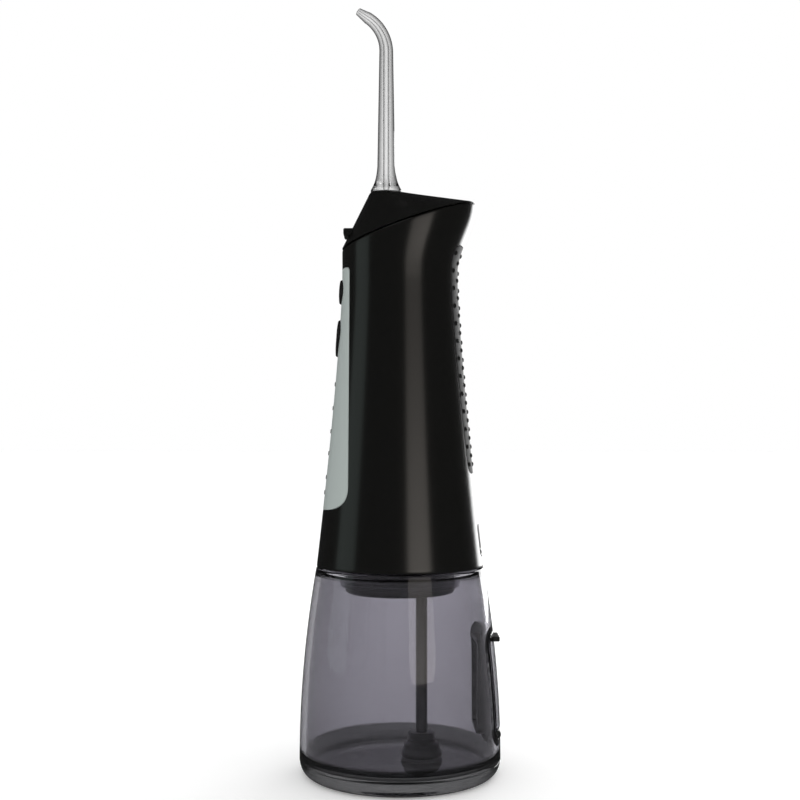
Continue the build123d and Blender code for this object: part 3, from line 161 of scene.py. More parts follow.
def tank_profile():
    """The tank's section from the middle of its underside, out and up, over the collar and back inside."""
    foot, inner_top = TANK_RADIUS - FOOT_ROUND, TANK_TOP - TANK_SHOULDER
    under = eased(
        (0, RECESS), (foot - RING_WIDTH, RECESS, 0.5), (foot - RING_WIDTH, 0, 0.4), (foot, 0), count=5
    )
    curl = bezier((foot, 0), (TANK_RADIUS - 0.6, 0), (TANK_RADIUS, WELD_Z), count=20)[1:]
    groove = eased(
        (TANK_RADIUS, WELD_Z - 0.18), (TANK_RADIUS - 0.16, WELD_Z, 0.1), (TANK_RADIUS, WELD_Z + 0.18)
    )
    up = np.linspace(WELD_Z + 0.5, TANK_TOP - 1.0, 60)
    outside = np.stack([tank_radius(up), up], -1)
    collar_low = TANK_TOP - COLLAR_DROP
    over = eased(
        (tank_radius(TANK_TOP - 0.9), TANK_TOP - 0.9),
        (tank_radius(TANK_TOP), TANK_TOP, 0.6),
        (COLLAR_RADIUS, TANK_TOP, 0.5),
        (COLLAR_RADIUS, collar_low, 0.3),
        (COLLAR_RADIUS + COLLAR_WALL, collar_low, 0.3),
        (COLLAR_RADIUS + COLLAR_WALL, inner_top, 0.8),
        (tank_radius(inner_top, TANK_WALL), inner_top, 1.6),
        (tank_radius(inner_top - 3, TANK_WALL), inner_top - 3),
        count=8,
    )
    down = np.linspace(inner_top - 3.5, FLOOR_Z + 4.5, 56)
    inside = np.stack([tank_radius(down, TANK_WALL), down], -1)
    wall_foot = tank_radius(FLOOR_Z + 4, TANK_WALL)
    floor = bezier((wall_foot, FLOOR_Z + 4), (wall_foot, FLOOR_Z), (wall_foot - 4.5, FLOOR_Z), count=14)
    return np.concatenate([under[:-1], curl[:-1], groove, outside, over, inside, floor, [(0, FLOOR_Z)]])


def round_box(half_width, low, high, ease, count=120):
    """Closed outline in Y and Z of a box with eased corners, in even steps."""
    w = half_width
    path = eased(
        (0, low), (w, low, ease), (w, high, ease), (-w, high, ease), (-w, low, ease), (0, low), count=12
    )
    return even(path, count)


def even(path, count):
    """The closed path's points again, spaced evenly along its length."""
    run = np.concatenate([[0], np.cumsum(np.linalg.norm(np.diff(path, axis=0), axis=1))])
    places = np.linspace(0, run[-1], count, endpoint=False)
    return np.stack([np.interp(places, run, path[:, k]) for k in (0, 1)], -1)


def punch(name, outline, x_low, x_high):
    """Solid with the outline in Y and Z, from x_low to x_high, closed by a cap at each end."""
    ring = np.concatenate([np.zeros((len(outline), 1)), outline], 1)
    middle = np.broadcast_to(ring.mean(0), ring.shape)
    loops = np.stack([middle, ring, ring, middle])
    loops[:2, :, 0] = x_low
    loops[2:, :, 0] = x_high
    return skin_over(name, loops, closed=False)


def cut_out(piece, cutter, crisp=38.0):
    """Takes the cutter's solid out of the piece, then drops the cutter."""
    cut = piece.modifiers.new("cut", "BOOLEAN")
    cut.object = cutter
    cut.solver = "EXACT"
    graph = bpy.context.evaluated_depsgraph_get()
    mesh = bpy.data.meshes.new_from_object(piece.evaluated_get(graph))
    piece.modifiers.clear()
    piece.data = mesh
    bpy.data.objects.remove(cutter)
    finish_mesh(piece, crisp)


def material(name):
    """A material with its Principled shader and output, and its node tree."""
    made = bpy.data.materials.new(name)
    made.use_nodes = True
    return made, made.node_tree, made.node_tree.nodes["Principled BSDF"]


def grain_group():
    """Fine moulded grain: a noise on Object coordinates gives a height, and a slow one shifts roughness."""
    group = bpy.data.node_groups.new("moulded_grain", "ShaderNodeTree")
    for name, value in (("Grain per metre", 2500.0), ("Roughness", 0.3), ("Spread", 0.05)):
        socket = group.interface.new_socket(name, in_out="INPUT", socket_type="NodeSocketFloat")
        socket.default_value = value
    group.interface.new_socket("Height", in_out="OUTPUT", socket_type="NodeSocketFloat")
    group.interface.new_socket("Roughness", in_out="OUTPUT", socket_type="NodeSocketFloat")
    nodes, links = group.nodes, group.links
    given, out = nodes.new("NodeGroupInput"), nodes.new("NodeGroupOutput")
    place = nodes.new("ShaderNodeTexCoord")
    fine, slow = nodes.new("ShaderNodeTexNoise"), nodes.new("ShaderNodeTexNoise")
    fine.inputs["Detail"].default_value = 3.0
    slow.inputs["Scale"].default_value = 55.0
    slow.inputs["Detail"].default_value = 4.0
    centred, spread = nodes.new("ShaderNodeMath"), nodes.new("ShaderNodeMath")
    centred.operation = "SUBTRACT"
    centred.inputs[1].default_value = 0.5
    spread.operation = "MULTIPLY_ADD"
    links.new(place.outputs["Object"], fine.inputs["Vector"])
    links.new(place.outputs["Object"], slow.inputs["Vector"])
    links.new(given.outputs["Grain per metre"], fine.inputs["Scale"])
    links.new(slow.outputs["Fac"], centred.inputs[0])
    links.new(centred.outputs[0], spread.inputs[0])
    links.new(given.outputs["Spread"], spread.inputs[1])
    links.new(given.outputs["Roughness"], spread.inputs[2])
    links.new(fine.outputs["Fac"], out.inputs["Height"])
    links.new(spread.outputs[0], out.inputs["Roughness"])
    return group


GRAIN = grain_group()


def moulded(name, colour, roughness, spread=0.05, grain=2500.0, bump_mm=0.004):
    """Moulded plastic or rubber: one colour, with roughness and a fine bump from the grain group."""
    made, tree, shader = material(name)
    shader.inputs["Base Color"].default_value = (*colour, 1.0)
    group = tree.nodes.new("ShaderNodeGroup")
    group.node_tree = GRAIN
    group.inputs["Grain per metre"].default_value = grain
    group.inputs["Roughness"].default_value = roughness
    group.inputs["Spread"].default_value = spread
    tree.links.new(group.outputs["Roughness"], shader.inputs["Roughness"])
    bump = tree.nodes.new("ShaderNodeBump")
    bump.inputs["Strength"].default_value = 1.0
    bump.inputs["Distance"].default_value = bump_mm * MM
    tree.links.new(group.outputs["Height"], bump.inputs["Height"])
    tree.links.new(bump.outputs["Normal"], shader.inputs["Normal"])
    return made, shader


def clear_plastic(name, tint, edge_shade_tint, roughness, index, slanting=0.4, bump_mm=0.0006):
    """See-through plastic: light passes with the tint where the sheet is met squarely. Where it is met at a
    slant the colour runs to the edge shade tint, painted shade that darkens rims and outlines as the camera
    sees them; in a tinted sheet a little of that darkening is the longer slanting path, the rest is
    painted."""
    made, shader = moulded(name, tint, roughness, spread=0.02, grain=900.0, bump_mm=bump_mm)
    nodes, links = made.node_tree.nodes, made.node_tree.links
    # Layer Weight facing mixes the tint to the edge shade tint: painted shade on slanting rims and
    # outlines.
    slant, blend = nodes.new("ShaderNodeLayerWeight"), nodes.new("ShaderNodeMix")
    slant.inputs["Blend"].default_value = slanting
    blend.data_type = "RGBA"
    blend.inputs[MIX_COLOUR_A].default_value = (*tint, 1.0)
    blend.inputs[MIX_COLOUR_B].default_value = (*edge_shade_tint, 1.0)
    links.new(slant.outputs["Facing"], blend.inputs[0])
    links.new(blend.outputs[MIX_COLOUR_OUT], shader.inputs["Base Color"])
    shader.inputs["Transmission Weight"].default_value = 1.0
    shader.inputs["IOR"].default_value = index
    return made


def dress(piece, finish, body, slot, *nodes):
    """Gives a piece its material and its body, and hides the nodes that it stands for. The slot is not
    used.
    """
    piece.data.materials.clear()
    piece.data.materials.append(finish)
    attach(piece, body)
    if nodes:
        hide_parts(*nodes)


# The second colour of each is painted edge shade that darkens the tank's rims and outline where met at a
# slant.
SMOKED = clear_plastic("smoked_clear", (0.45, 0.44, 0.48), (0.16, 0.16, 0.17), 0.03, ACRYLIC_INDEX)
SMOKED_THICK = clear_plastic(
    "smoked_thick", (0.12, 0.12, 0.125), (0.05, 0.05, 0.05), 0.05, ACRYLIC_INDEX
)
DOOR_OUTLINE = round_box(
    reach("fill_door", 1, 1), reach("fill_door", 0, 2), reach("fill_door", 1, 2), 5.0
)


def grown(outline, margin):
    """The closed outline moved outwards, square to its own run, by margin."""
    run = np.roll(outline, -1, 0) - np.roll(outline, 1, 0)
    square = np.stack([run[:, 1], -run[:, 0]], -1)
    square /= np.linalg.norm(square, axis=1)[:, None]
    return outline + margin * square


FLOOR_EDGE_Z = 9.0
tank = turned("tank_body", tank_profile(), closed=False)
door_opening = grown(DOOR_OUTLINE, DOOR_EDGE_GAP)
cut_out(tank, punch("tank_door_punch", door_opening, DOOR_PUNCH_NEAR, DOOR_PUNCH_FAR))
dress(tank, SMOKED, "tank", "smoked_tank", "tank_wall", "tank_base")
tank.data.materials.append(SMOKED_THICK)
middles = np.empty(len(tank.data.polygons) * 3)
tank.data.polygons.foreach_get("center", middles)
tank.data.polygons.foreach_set("material_index", (middles[2::3] < FLOOR_EDGE_Z * MM).astype(np.int32))

# ---------------------------------------------------------------- fill door
# The rear door is a curved smoked flap on a steel pin, flush with the wall, with a pull ridge at the top.
# A black frame is bonded round the opening, and the flap carries a soft black plug that fills its mouth.

SOFT_BLACK = moulded("soft_black", (0.012, 0.012, 0.012), 0.6, grain=4000.0, bump_mm=0.02)[0]
DARK_PLASTIC = moulded("dark_plastic", (0.012, 0.012, 0.013), 0.34)[0]
STEEL, steel_shader = moulded("bright_steel", (0.55, 0.55, 0.55), 0.25)
steel_shader.inputs["Metallic"].default_value = 1.0
DOOR_THICK = 1.5
DOOR_EASE = 0.35
DOOR_SPINE = 6.0
PLUG_MARGIN = 3.95
PLUG_DEPTH = 2.6
LEAF_RISE = 2.1


def tank_skin(y, z, inset):
    """X of the tank's rear surface at y and z, moved in by inset."""
    return np.sqrt(tank_radius(z, inset) ** 2 - y**2)


def inlay(name, outline, skin, rows, margin):
    """Curved closed plate on a skin. Each row is (shrink, draw, inset): the outline moved in by shrink
    millimetres, then drawn by a share of the way to its spine, lying at that inset in the skin. The spine
    is the upright middle line, kept margin inside both ends."""
    low, high = outline[:, 1].min() + margin, outline[:, 1].max() - margin
    spine = np.stack([np.zeros(len(outline)), outline[:, 1].clip(low, high)], -1)
    loops = []
    for shrink, draw, inset in rows:
        flat = grown(outline, -shrink)
        flat = flat + (spine - flat) * draw
        loops.append(np.stack([skin(flat[:, 0], flat[:, 1], inset), flat[:, 0], flat[:, 1]], -1))
    return skin_over(name, np.stack(loops), closed=False)


def plate_rows(front, back, ease, steps=10, crown=0.0):
    """Rows of a plate from its back's spine, round an eased front edge, to its front's spine, where it may
    rise by crown."""
    draw = np.linspace(1, 0, steps)
    turn = np.linspace(0, np.pi / 2, 7)
    rows = [(0.0, d, back) for d in draw]
    rows += [(ease * (1 - np.cos(t)), 0.0, front + ease * (1 - np.sin(t))) for t in turn]
    rows += [(ease, d, front - crown * (1 - (1 - d) ** 2)) for d in draw[::-1][1:]]
    return rows


hinge_z = reach("fill_door_pin", 0, 2) + 0.8
hinge_x = (reach("fill_door_pin", 0, 0) + reach("fill_door_pin", 1, 0)) / 2
leaf = DOOR_OUTLINE.copy()
leaf[:, 1] = leaf[:, 1].clip(hinge_z + LEAF_RISE, None)
leaf = even(np.vstack([leaf, leaf[:1]]), 160)
flap = inlay("fill_flap", leaf, tank_skin, plate_rows(0.0, DOOR_THICK, DOOR_EASE), DOOR_SPINE)
dress(flap, SMOKED, "door", "smoked_tank", "fill_door")


def barrel(name, x, z, half_length, radius, ease=0.3, count=48):
    """Round bar across the object at x and z, with eased ends."""
    profile = eased(
        (0, -half_length), (radius, -half_length, ease), (radius, half_length, ease), (0, half_length)
    )
    angle = np.linspace(0, 2 * np.pi, count, endpoint=False)
    loops = np.empty((len(profile), count, 3))
    loops[..., 0] = x + profile[:, :1] * np.cos(angle)
    loops[..., 1] = profile[:, 1:]
    loops[..., 2] = z + profile[:, :1] * np.sin(angle)
    return skin_over(name, loops, closed=False)


def bar(name, centre, size, ease):
    """Bar with all edges eased: a box with eased corners across Y and Z, drawn in at both X ends."""
    half = np.array(size) / 2
    outline = round_box(half[1], -half[2], half[2], ease, 96)
    turn = np.linspace(0, np.pi / 2, 6)
    rows = [(-half[0] + ease * (1 - np.sin(t)), ease * (1 - np.cos(t))) for t in turn[::-1]]
    loops = []
    for along, shrink in rows + [(-a, s) for a, s in rows[::-1]]:
        flat = grown(outline, -min(shrink, half[2] * 0.9))
        loops.append(np.stack([np.full(len(flat), along), flat[:, 0], flat[:, 1]], -1))
    for end in (0, -1):
        middle = loops[end].copy()
        middle[:, 1:] = 0
        loops.insert(0 if end == 0 else len(loops), middle)
    return skin_over(name, np.stack(loops) + np.array(centre), closed=False)


door_knuckle = barrel("flap_knuckle", hinge_x, hinge_z, 4.0, 1.6)
dress(door_knuckle, SMOKED, "door", "smoked_tank")
pull_z = reach("fill_door", 1, 2) - 2.5
pull = bar("flap_pull", (tank_radius(pull_z) + 0.6, 0, pull_z), (2.6, 10.0, 1.8), 0.5)
dress(pull, SOFT_BLACK, "door", "soft_black")
door_plug = inlay(
    "flap_plug",
    grown(leaf, -PLUG_MARGIN),
    tank_skin,
    plate_rows(DOOR_THICK + 0.05, DOOR_THICK + PLUG_DEPTH, 0.3),
    DOOR_SPINE,
)
dress(door_plug, SOFT_BLACK, "door", "soft_black", "fill_door_gasket")


def refinish(node, finish):
    """Gives one of the frame's own solids the material in place of its plain one."""
    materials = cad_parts[node].data.materials
    materials.clear()
    materials.append(finish)


refinish("fill_port_frame", DARK_PLASTIC)
refinish("fill_door_pin", STEEL)

# ---------------------------------------------------------------- plug and dip tube
# The housing's black floor ends in a round plug with a seal ring, which hangs in the tank's collar. From
# it a straight black tube goes down to a ridged, weighted bell that draws water off the tank's floor.

PLUG_RADIUS = 19.6
GROOVE_DEPTH = 1.2
FLOOR_RADIUS = 27.4
SEAL_LOW, SEAL_HIGH = 67.2, 69.2
SEAL_INNER, SEAL_OUTER = 18.5, 19.85
TUBE_BORE = 1.2
BELL_SOCKET = 5.0
BELL_NECK, BELL_RADIUS, BELL_BORE = 4.6, 7.35, 5.95
SEAM = reach("main_shell", 0, 2)
plug_low = reach("base_plug", 0, 2)
plug = turned(
    "tank_plug",
    eased(
        (0, plug_low + 1.8),
        (4.0, plug_low + 1.8, 0.3),
        (4.0, plug_low, 0.3),
        (PLUG_RADIUS, plug_low, 1.8),
        (PLUG_RADIUS, SEAL_LOW, 0.2),
        (PLUG_RADIUS - GROOVE_DEPTH, SEAL_LOW, 0.1),
        (PLUG_RADIUS - GROOVE_DEPTH, SEAL_HIGH, 0.1),
        (PLUG_RADIUS, SEAL_HIGH, 0.2),
        (PLUG_RADIUS, SEAM - 0.3, 0.1),
        (FLOOR_RADIUS, SEAM - 0.1, 0.1),
        (FLOOR_RADIUS, SEAM + 2.0, 0.1),
        (0, SEAM + 2.0),
    ),
    closed=False,
)
dress(plug, DARK_PLASTIC, "housing", "shell", "base_plug")
seal = turned(
    "tank_plug_seal",
    eased(
        (SEAL_INNER, SEAL_LOW + 0.1),
        (SEAL_OUTER, SEAL_LOW + 0.1, 0.5),
        (SEAL_OUTER, SEAL_HIGH - 0.1, 0.5),
        (SEAL_INNER, SEAL_HIGH - 0.1),
    ),
)
dress(seal, SOFT_BLACK, "housing", "seal", "plug_seal")
tube_x = (reach("suction_tube", 0, 0) + reach("suction_tube", 1, 0)) / 2
tube_radius = reach("suction_tube", 1, 1)
bell_top, bell_low = reach("filter_foot", 1, 2), reach("filter_foot", 0, 2)
dip_tube = turned(
    "dip_tube",
    [
        (tube_radius, bell_top - BELL_SOCKET),
        (tube_radius, SEAM),
        (TUBE_BORE, SEAM),
        (TUBE_BORE, bell_top - BELL_SOCKET),
    ],
    tube_x,
    count=64,
)
dress(dip_tube, DARK_PLASTIC, "housing", "inner_dark", "suction_tube")
bell = turned(
    "dip_bell",
    eased(
        (tube_radius + 0.02, bell_top),
        (BELL_NECK, bell_top, 0.5),
        (BELL_NECK, bell_top - 1.9, 0.2),
        (5.3, bell_top - 2.4, 0.3),
        (4.9, bell_top - 3.3, 0.3),
        (6.1, bell_top - 3.9, 0.3),
        (6.3, 8.7, 0.5),
        (BELL_RADIUS, 7.3, 0.4),
        (BELL_RADIUS, bell_low, 0.4),
        (BELL_BORE, bell_low, 0.3),
        (BELL_BORE, 7.6, 0.4),
        (tube_radius + 0.02, bell_top - BELL_SOCKET),
    ),
    tube_x,
    count=96,
)
dress(bell, DARK_PLASTIC, "housing", "inner_dark", "filter_foot")

# ---------------------------------------------------------------- works inside
# Pump, motor, cell, board and the frame that holds them. They are the frame's own solids, in the
# finishes of such parts: natural nylon, green board, steel can, brass pinion and a wrapped cell.

NYLON = moulded("natural_nylon", (0.72, 0.71, 0.66), 0.45)[0]
BOARD_GREEN = moulded("board_green", (0.01, 0.09, 0.035), 0.35, grain=1500.0)[0]
BRASS, brass_shader = moulded("brass", (0.72, 0.5, 0.2), 0.25)
brass_shader.inputs["Metallic"].default_value = 1.0
CELL_WRAP = moulded("cell_wrap", (0.03, 0.12, 0.35), 0.3)[0]
HOSE_WHITE = moulded("silicone_hose", (0.62, 0.62, 0.6), 0.4)[0]
# Its second colour is painted edge shade on slanting rims.
LENS = clear_plastic("light_pipe_clear", (0.9, 0.9, 0.9), (0.6, 0.6, 0.6), 0.12, ACRYLIC_INDEX)
INNER = {
    NYLON: "chassis_frame crown_gear piston_rod pump_cylinder valve_block battery_cup",
    BOARD_GREEN: "circuit_board",
    BRASS: "motor_pinion",
    CELL_WRAP: "battery_cell",
    HOSE_WHITE: "inlet_hose board_lights",
    LENS: "light_pipes",
    STEEL: "motor_can filter_mesh release_spring charge_cover_pin "
    "chassis_screw_1 chassis_screw_2 chassis_screw_3",
    DARK_PLASTIC: "motor_end_cap power_switch mode_switch charge_socket seat_retainer spring_post",
    SOFT_BLACK: "piston_seal outlet_valve inlet_valve button_gasket nozzle_seal",
}
for finish, nodes in INNER.items():
    for node in nodes.split():
        refinish(node, finish)

# ---------------------------------------------------------------- housing shell
# The grip is one satin black moulding: round at the seam, drawn in to a waist, then reaching back to a
# beak. Its rim slopes up to the rear and is eased. The front is sunk for the panel, the back for the grip.

HOUSING_RADIUS = reach("main_shell", 1, 1)
WAIST_RADIUS = 20.8
WAIST_RISE = 102.0
TAPER_POWER = 1.3
HEAD_RISE = 130.0
FRONT_REACH = 20.95
BEAK_REACH = 27.4
HEAD_HALF_WIDTH = 21.4
FLARE_START = 105.0
CREASE_FRONT = SEAM + 113.2
CREASE_SLOPE = (129.8 - 113.2) / (FRONT_REACH + BEAK_REACH)
SHELL_WALL = 2.0
RIM_EASE = 0.75
SATIN_BLACK, satin = moulded("satin_black", (0.005, 0.005, 0.0045), 0.2, grain=2200.0, bump_mm=0.002)
satin.inputs["Specular IOR Level"].default_value = 0.9


def smooth(t):
    """Eased step from 0 to 1."""
    t = np.clip(t, 0, 1)
    return t * t * (3 - 2 * t)


def station(z):
    """Middle, half length and half width of the housing's oval at a height: a power-law taper to the
    waist, with the rear flare and the head's widening eased in above it."""
    rise = z - SEAM
    taper = np.clip(1 - rise / WAIST_RISE, 0, 1) ** TAPER_POWER
    radius = WAIST_RADIUS + (HOUSING_RADIUS - WAIST_RADIUS) * taper
    flare = smooth((rise - FLARE_START) / (HEAD_RISE - FLARE_START))
    widening = smooth((rise - WAIST_RISE) / (HEAD_RISE - WAIST_RISE))
    front = radius + (FRONT_REACH - WAIST_RADIUS) * widening
    rear = radius + (BEAK_REACH - WAIST_RADIUS) * flare
    return (rear - front) / 2, (front + rear) / 2, radius + (HEAD_HALF_WIDTH - WAIST_RADIUS) * widening


def oval_point(angle, z, inset):
    """Point of the housing's oval at an angle from the rear, moved in by inset."""
    middle, half_length, half_width = station(z)
    x = middle + (half_length - inset) * np.cos(angle)
    y = (half_width - inset) * np.sin(angle)
    return np.stack(np.broadcast_arrays(x, y, z), -1)


def crease_height(angle, inset, lift=0.0):
    """Height where the oval's side meets the sloping rim plane, found by repeating the plane's formula."""
    z = np.full_like(angle, CREASE_FRONT)
    for _ in range(30):
        z = CREASE_FRONT + lift + CREASE_SLOPE * (oval_point(angle, z, inset)[:, 0] + FRONT_REACH)
    return z


ANGLES = np.linspace(0, 2 * np.pi, 288, endpoint=False)


def shell_loops():
    """Rings from the seam up the outside, over the eased rim, and down the inside."""
    rim = crease_height(ANGLES, 0.0)
    foot = np.full_like(ANGLES, SEAM)
    rows = [oval_point(ANGLES, foot + 0.02, 0.35), oval_point(ANGLES, foot + 0.1, 0.08)]
    for s in np.linspace(0, 1, 110):
        rows.append(oval_point(ANGLES, foot + 0.35 + (rim - RIM_EASE - foot - 0.35) * s, 0.0))
    for t in np.linspace(0, np.pi / 2, 8)[1:]:
        inset = RIM_EASE * (1 - np.cos(t))
        rows.append(oval_point(ANGLES, rim - RIM_EASE * (1 - np.sin(t)), inset))
    inner_rim = crease_height(ANGLES, SHELL_WALL)
    rows.append(oval_point(ANGLES, inner_rim, SHELL_WALL))
    for s in np.linspace(1, 0, 30):
        rows.append(oval_point(ANGLES, foot + 0.02 + (inner_rim - 2 - foot) * s, SHELL_WALL))
    return np.stack(rows)


def front_skin(y, z, inset):
    """X of the housing's front surface at y and z, moved in by inset."""
    middle, half_length, half_width = station(z)
    return middle - (half_length - inset) * np.sqrt(1 - (y / (half_width - inset)) ** 2)


def rear_skin(y, z, inset):
    """X of the housing's rear surface at y and z, moved in by inset."""
    middle, half_length, half_width = station(z)
    return middle + (half_length - inset) * np.sqrt(1 - (y / (half_width - inset)) ** 2)


PANEL_EDGE = 17.8
PANEL_TOP = reach("panel_plate", 1, 2) + 0.15
PANEL_LOW = 92.7
PANEL_TURN = 102.0
PANEL_SPINE = 8.0
BED_CRISP = 30.0


def panel_outline(margin, count=240):
    """Panel outline in Y and Z: its side view has an upright edge, an eased top corner and a swept foot,
    and where that side view meets the housing's skin gives the width."""
    edge, top, low = -PANEL_EDGE - margin, PANEL_TOP - margin, PANEL_LOW + margin
    corner = bezier((edge - 2.0, top), (edge, top), (edge, top - 2.0), count=40)
    side = np.stack([np.full(200, edge), np.linspace(top - 2.0, PANEL_TURN + margin, 200)], -1)
    poles = (edge, PANEL_TURN + margin), (edge, low + 1.5), (edge - 5.5, low + 0.4), (-HOUSING_RADIUS, low)
    sweep = bezier(*poles, count=900)
    x, z = np.concatenate([corner, side[1:], sweep[1:]]).T
    middle, half_length, half_width = station(z)
    across = 1 - ((x - middle) / half_length) ** 2
    kept = across > 0
    y = half_width[kept] * np.sqrt(across[kept])
    z = z[kept]
    half = np.stack([np.append(y, 0), np.append(z, z[-1])], -1)
    half = np.concatenate([[(0, top)], half])
    path = np.concatenate([half[::-1], half[1:] * (-1, 1)])
    return even(path, count)


def sunk(name, outline, skin, depth, margin):
    """Solid that sinks a bed of the given depth into a skin."""
    return inlay(name, outline, skin, plate_rows(-1.5, depth, 0.01), margin)


shell = skin_over("grip_shell", shell_loops())
cut_out(shell, sunk("panel_bed", panel_outline(0.0), front_skin, 1.2, PANEL_SPINE), BED_CRISP)
GRIP_OUTLINE = round_box(10.6, 106.0, 187.2, 4.0, 200)
PORT_OUTLINE = round_box(7.5, 76.6, 88.4, 2.5, 120)
cut_out(shell, sunk("grip_bed", GRIP_OUTLINE, rear_skin, 1.0, 6.0), BED_CRISP)
cut_out(shell, sunk("port_bed", PORT_OUTLINE, rear_skin, 1.4, 4.0), BED_CRISP)
dress(shell, SATIN_BLACK, "housing", "shell", "main_shell")

# ---------------------------------------------------------------- front panel
# A thin satin grey-green plate let into the front. It wraps round to an upright side edge, has an eased
# rim, and is pierced for the two buttons and a row of small lights.

PANEL_GREY = moulded("panel_grey_green", (0.40, 0.445, 0.43), 0.42, grain=3200.0, bump_mm=0.005)[0]
POWER_Z, POWER_WIDE, POWER_TALL = 171.2, 10.5, 8.8
MODE_LOW, MODE_HIGH = 147.8, 161.1
MODE_RADIUS, MODE_TIP = 4.9, 2.0
LIGHT_HEIGHTS = (138.0, 129.4, 121.1, 113.2, 104.6, 99.2)
LIGHT_RADIUS = 0.8
PANEL_GAP = 0.22
HOLE_FAR, LIGHT_HOLE_FAR, HOLE_NEAR = -26.0, -30.0, -15.0


def power_outline(count=96):
    """Ellipse of the power button in Y and Z."""
    angle = np.linspace(0, 2 * np.pi, count, endpoint=False)
    return np.stack([POWER_WIDE / 2 * np.cos(angle), POWER_Z + POWER_TALL / 2 * np.sin(angle)], -1)


def mode_outline(count=96):
    """Teardrop of the mode button: a wide round top and a small round tip, joined by their tangents."""
    top_z, tip_z = MODE_HIGH - MODE_RADIUS, MODE_LOW + MODE_TIP
    lean = np.arcsin((MODE_RADIUS - MODE_TIP) / (top_z - tip_z))
    over = np.linspace(-lean, np.pi + lean, 80)
    under = np.linspace(np.pi + lean, 2 * np.pi - lean, 40)
    top = np.stack([MODE_RADIUS * np.cos(over), top_z + MODE_RADIUS * np.sin(over)], -1)
    tip = np.stack([MODE_TIP * np.cos(under), tip_z + MODE_TIP * np.sin(under)], -1)
    return even(np.concatenate([top, tip, top[:1]]), count)


def disc_outline(z, radius, count=24):
    """Circle in Y and Z, round the middle plane at a height."""
    angle = np.linspace(0, 2 * np.pi, count, endpoint=False)
    return np.stack([radius * np.cos(angle), z + radius * np.sin(angle)], -1)


panel_rows = plate_rows(-0.02, 1.15, 0.4, steps=26)
panel = inlay("panel", panel_outline(PANEL_GAP), front_skin, panel_rows, PANEL_SPINE)
for name, outline in (("power_hole", power_outline()), ("mode_hole", mode_outline())):
    cut_out(panel, punch(name, grown(outline, PANEL_GAP), HOLE_FAR, HOLE_NEAR), BED_CRISP)
for number, z in enumerate(LIGHT_HEIGHTS, 1):
    hole = disc_outline(z, LIGHT_RADIUS + 0.05)
    cut_out(panel, punch(f"light_hole_{number}", hole, LIGHT_HOLE_FAR, HOLE_NEAR), BED_CRISP)
dress(panel, PANEL_GREY, "housing", "panel", "panel_plate")

LAMP_DARK = moulded("lamp_window", (0.02, 0.02, 0.022), 0.2)[0]
for number, z in enumerate(LIGHT_HEIGHTS, 1):
    lamp_rows = plate_rows(-0.3, 1.0, 0.25, 6)
    lamp = inlay(f"lamp_{number}", disc_outline(z, LIGHT_RADIUS), front_skin, lamp_rows, 0.6)
    dress(lamp, LAMP_DARK, "housing", "clear_part")

# ---------------------------------------------------------------- buttons
# Two glossy black keys stand proud of the panel: an oval for power and a teardrop for the mode. Each
# has a softly eased shoulder and a slightly crowned face.

KEY_BLACK = moulded("key_black", (0.008, 0.008, 0.008), 0.2)[0]
KEY_ROWS = plate_rows(-0.85, 1.6, 0.8, crown=0.25)
power_key = inlay("power_key", power_outline(), front_skin, KEY_ROWS, 4.3)
dress(power_key, KEY_BLACK, "power_key", "keys", "power_button")
mode_key = inlay("mode_key", mode_outline(), front_skin, KEY_ROWS, 4.5)
dress(mode_key, KEY_BLACK, "mode_key", "keys", "mode_button")

# ---------------------------------------------------------------- rear grip
# A thin black rubber strip is moulded into the back, with staggered rows of small round bumps for the
# fingers.

BUMP_ROWS = 25
BUMP_TOP = 184.2
BUMP_PITCH = 3.12
BUMP_SPACING = 4.2
BUMP_RADIUS = 0.85
BUMP_HEIGHT = 0.55
BUMP_SINK = 0.35
BUMP_POINTS = 12
strip_rows = plate_rows(0.0, 0.95, 0.3, steps=14)
strip = inlay("grip_strip", grown(GRIP_OUTLINE, -0.15), rear_skin, strip_rows, 8.0)
dress(strip, SOFT_BLACK, "housing", "soft_black", "rear_grip")


def bumps():
    """Domes set on the strip: each is half an ellipsoid, turned to stand square to the skin."""
    places = [
        (side * BUMP_SPACING, BUMP_TOP - row * BUMP_PITCH)
        for row in range(BUMP_ROWS)
        for side in ((-2, 0, 2) if row % 2 == 0 else (-1, 1))
    ]
    y, z = np.array(places).T
    step = 0.05
    x = rear_skin(y, z, 0.0)
    along_y = np.stack([(rear_skin(y + step, z, 0.0) - x) / step, np.ones_like(y), np.zeros_like(y)], -1)
    along_z = np.stack([(rear_skin(y, z + step, 0.0) - x) / step, np.zeros_like(y), np.ones_like(y)], -1)
    along_y /= np.linalg.norm(along_y, axis=1)[:, None]
    along_z /= np.linalg.norm(along_z, axis=1)[:, None]
    out = np.cross(along_y, along_z)
    out /= np.linalg.norm(out, axis=1)[:, None]
    turn = np.linspace(0, 2 * np.pi, BUMP_POINTS, endpoint=False)
    rise = np.linspace(-BUMP_SINK, np.pi / 2, 5)
    local = np.stack(
        [
            np.outer(np.cos(rise), np.cos(turn)) * BUMP_RADIUS,
            np.outer(np.cos(rise), np.sin(turn)) * BUMP_RADIUS,
            np.outer(np.sin(rise), np.ones(BUMP_POINTS)) * BUMP_HEIGHT,
        ],
        -1,
    )
    axes = np.stack([along_y, along_z, out], 1)
    centre = np.stack([x, y, z], -1)
    return centre[:, None, None] + np.einsum("rck,nkj->nrcj", local, axes)


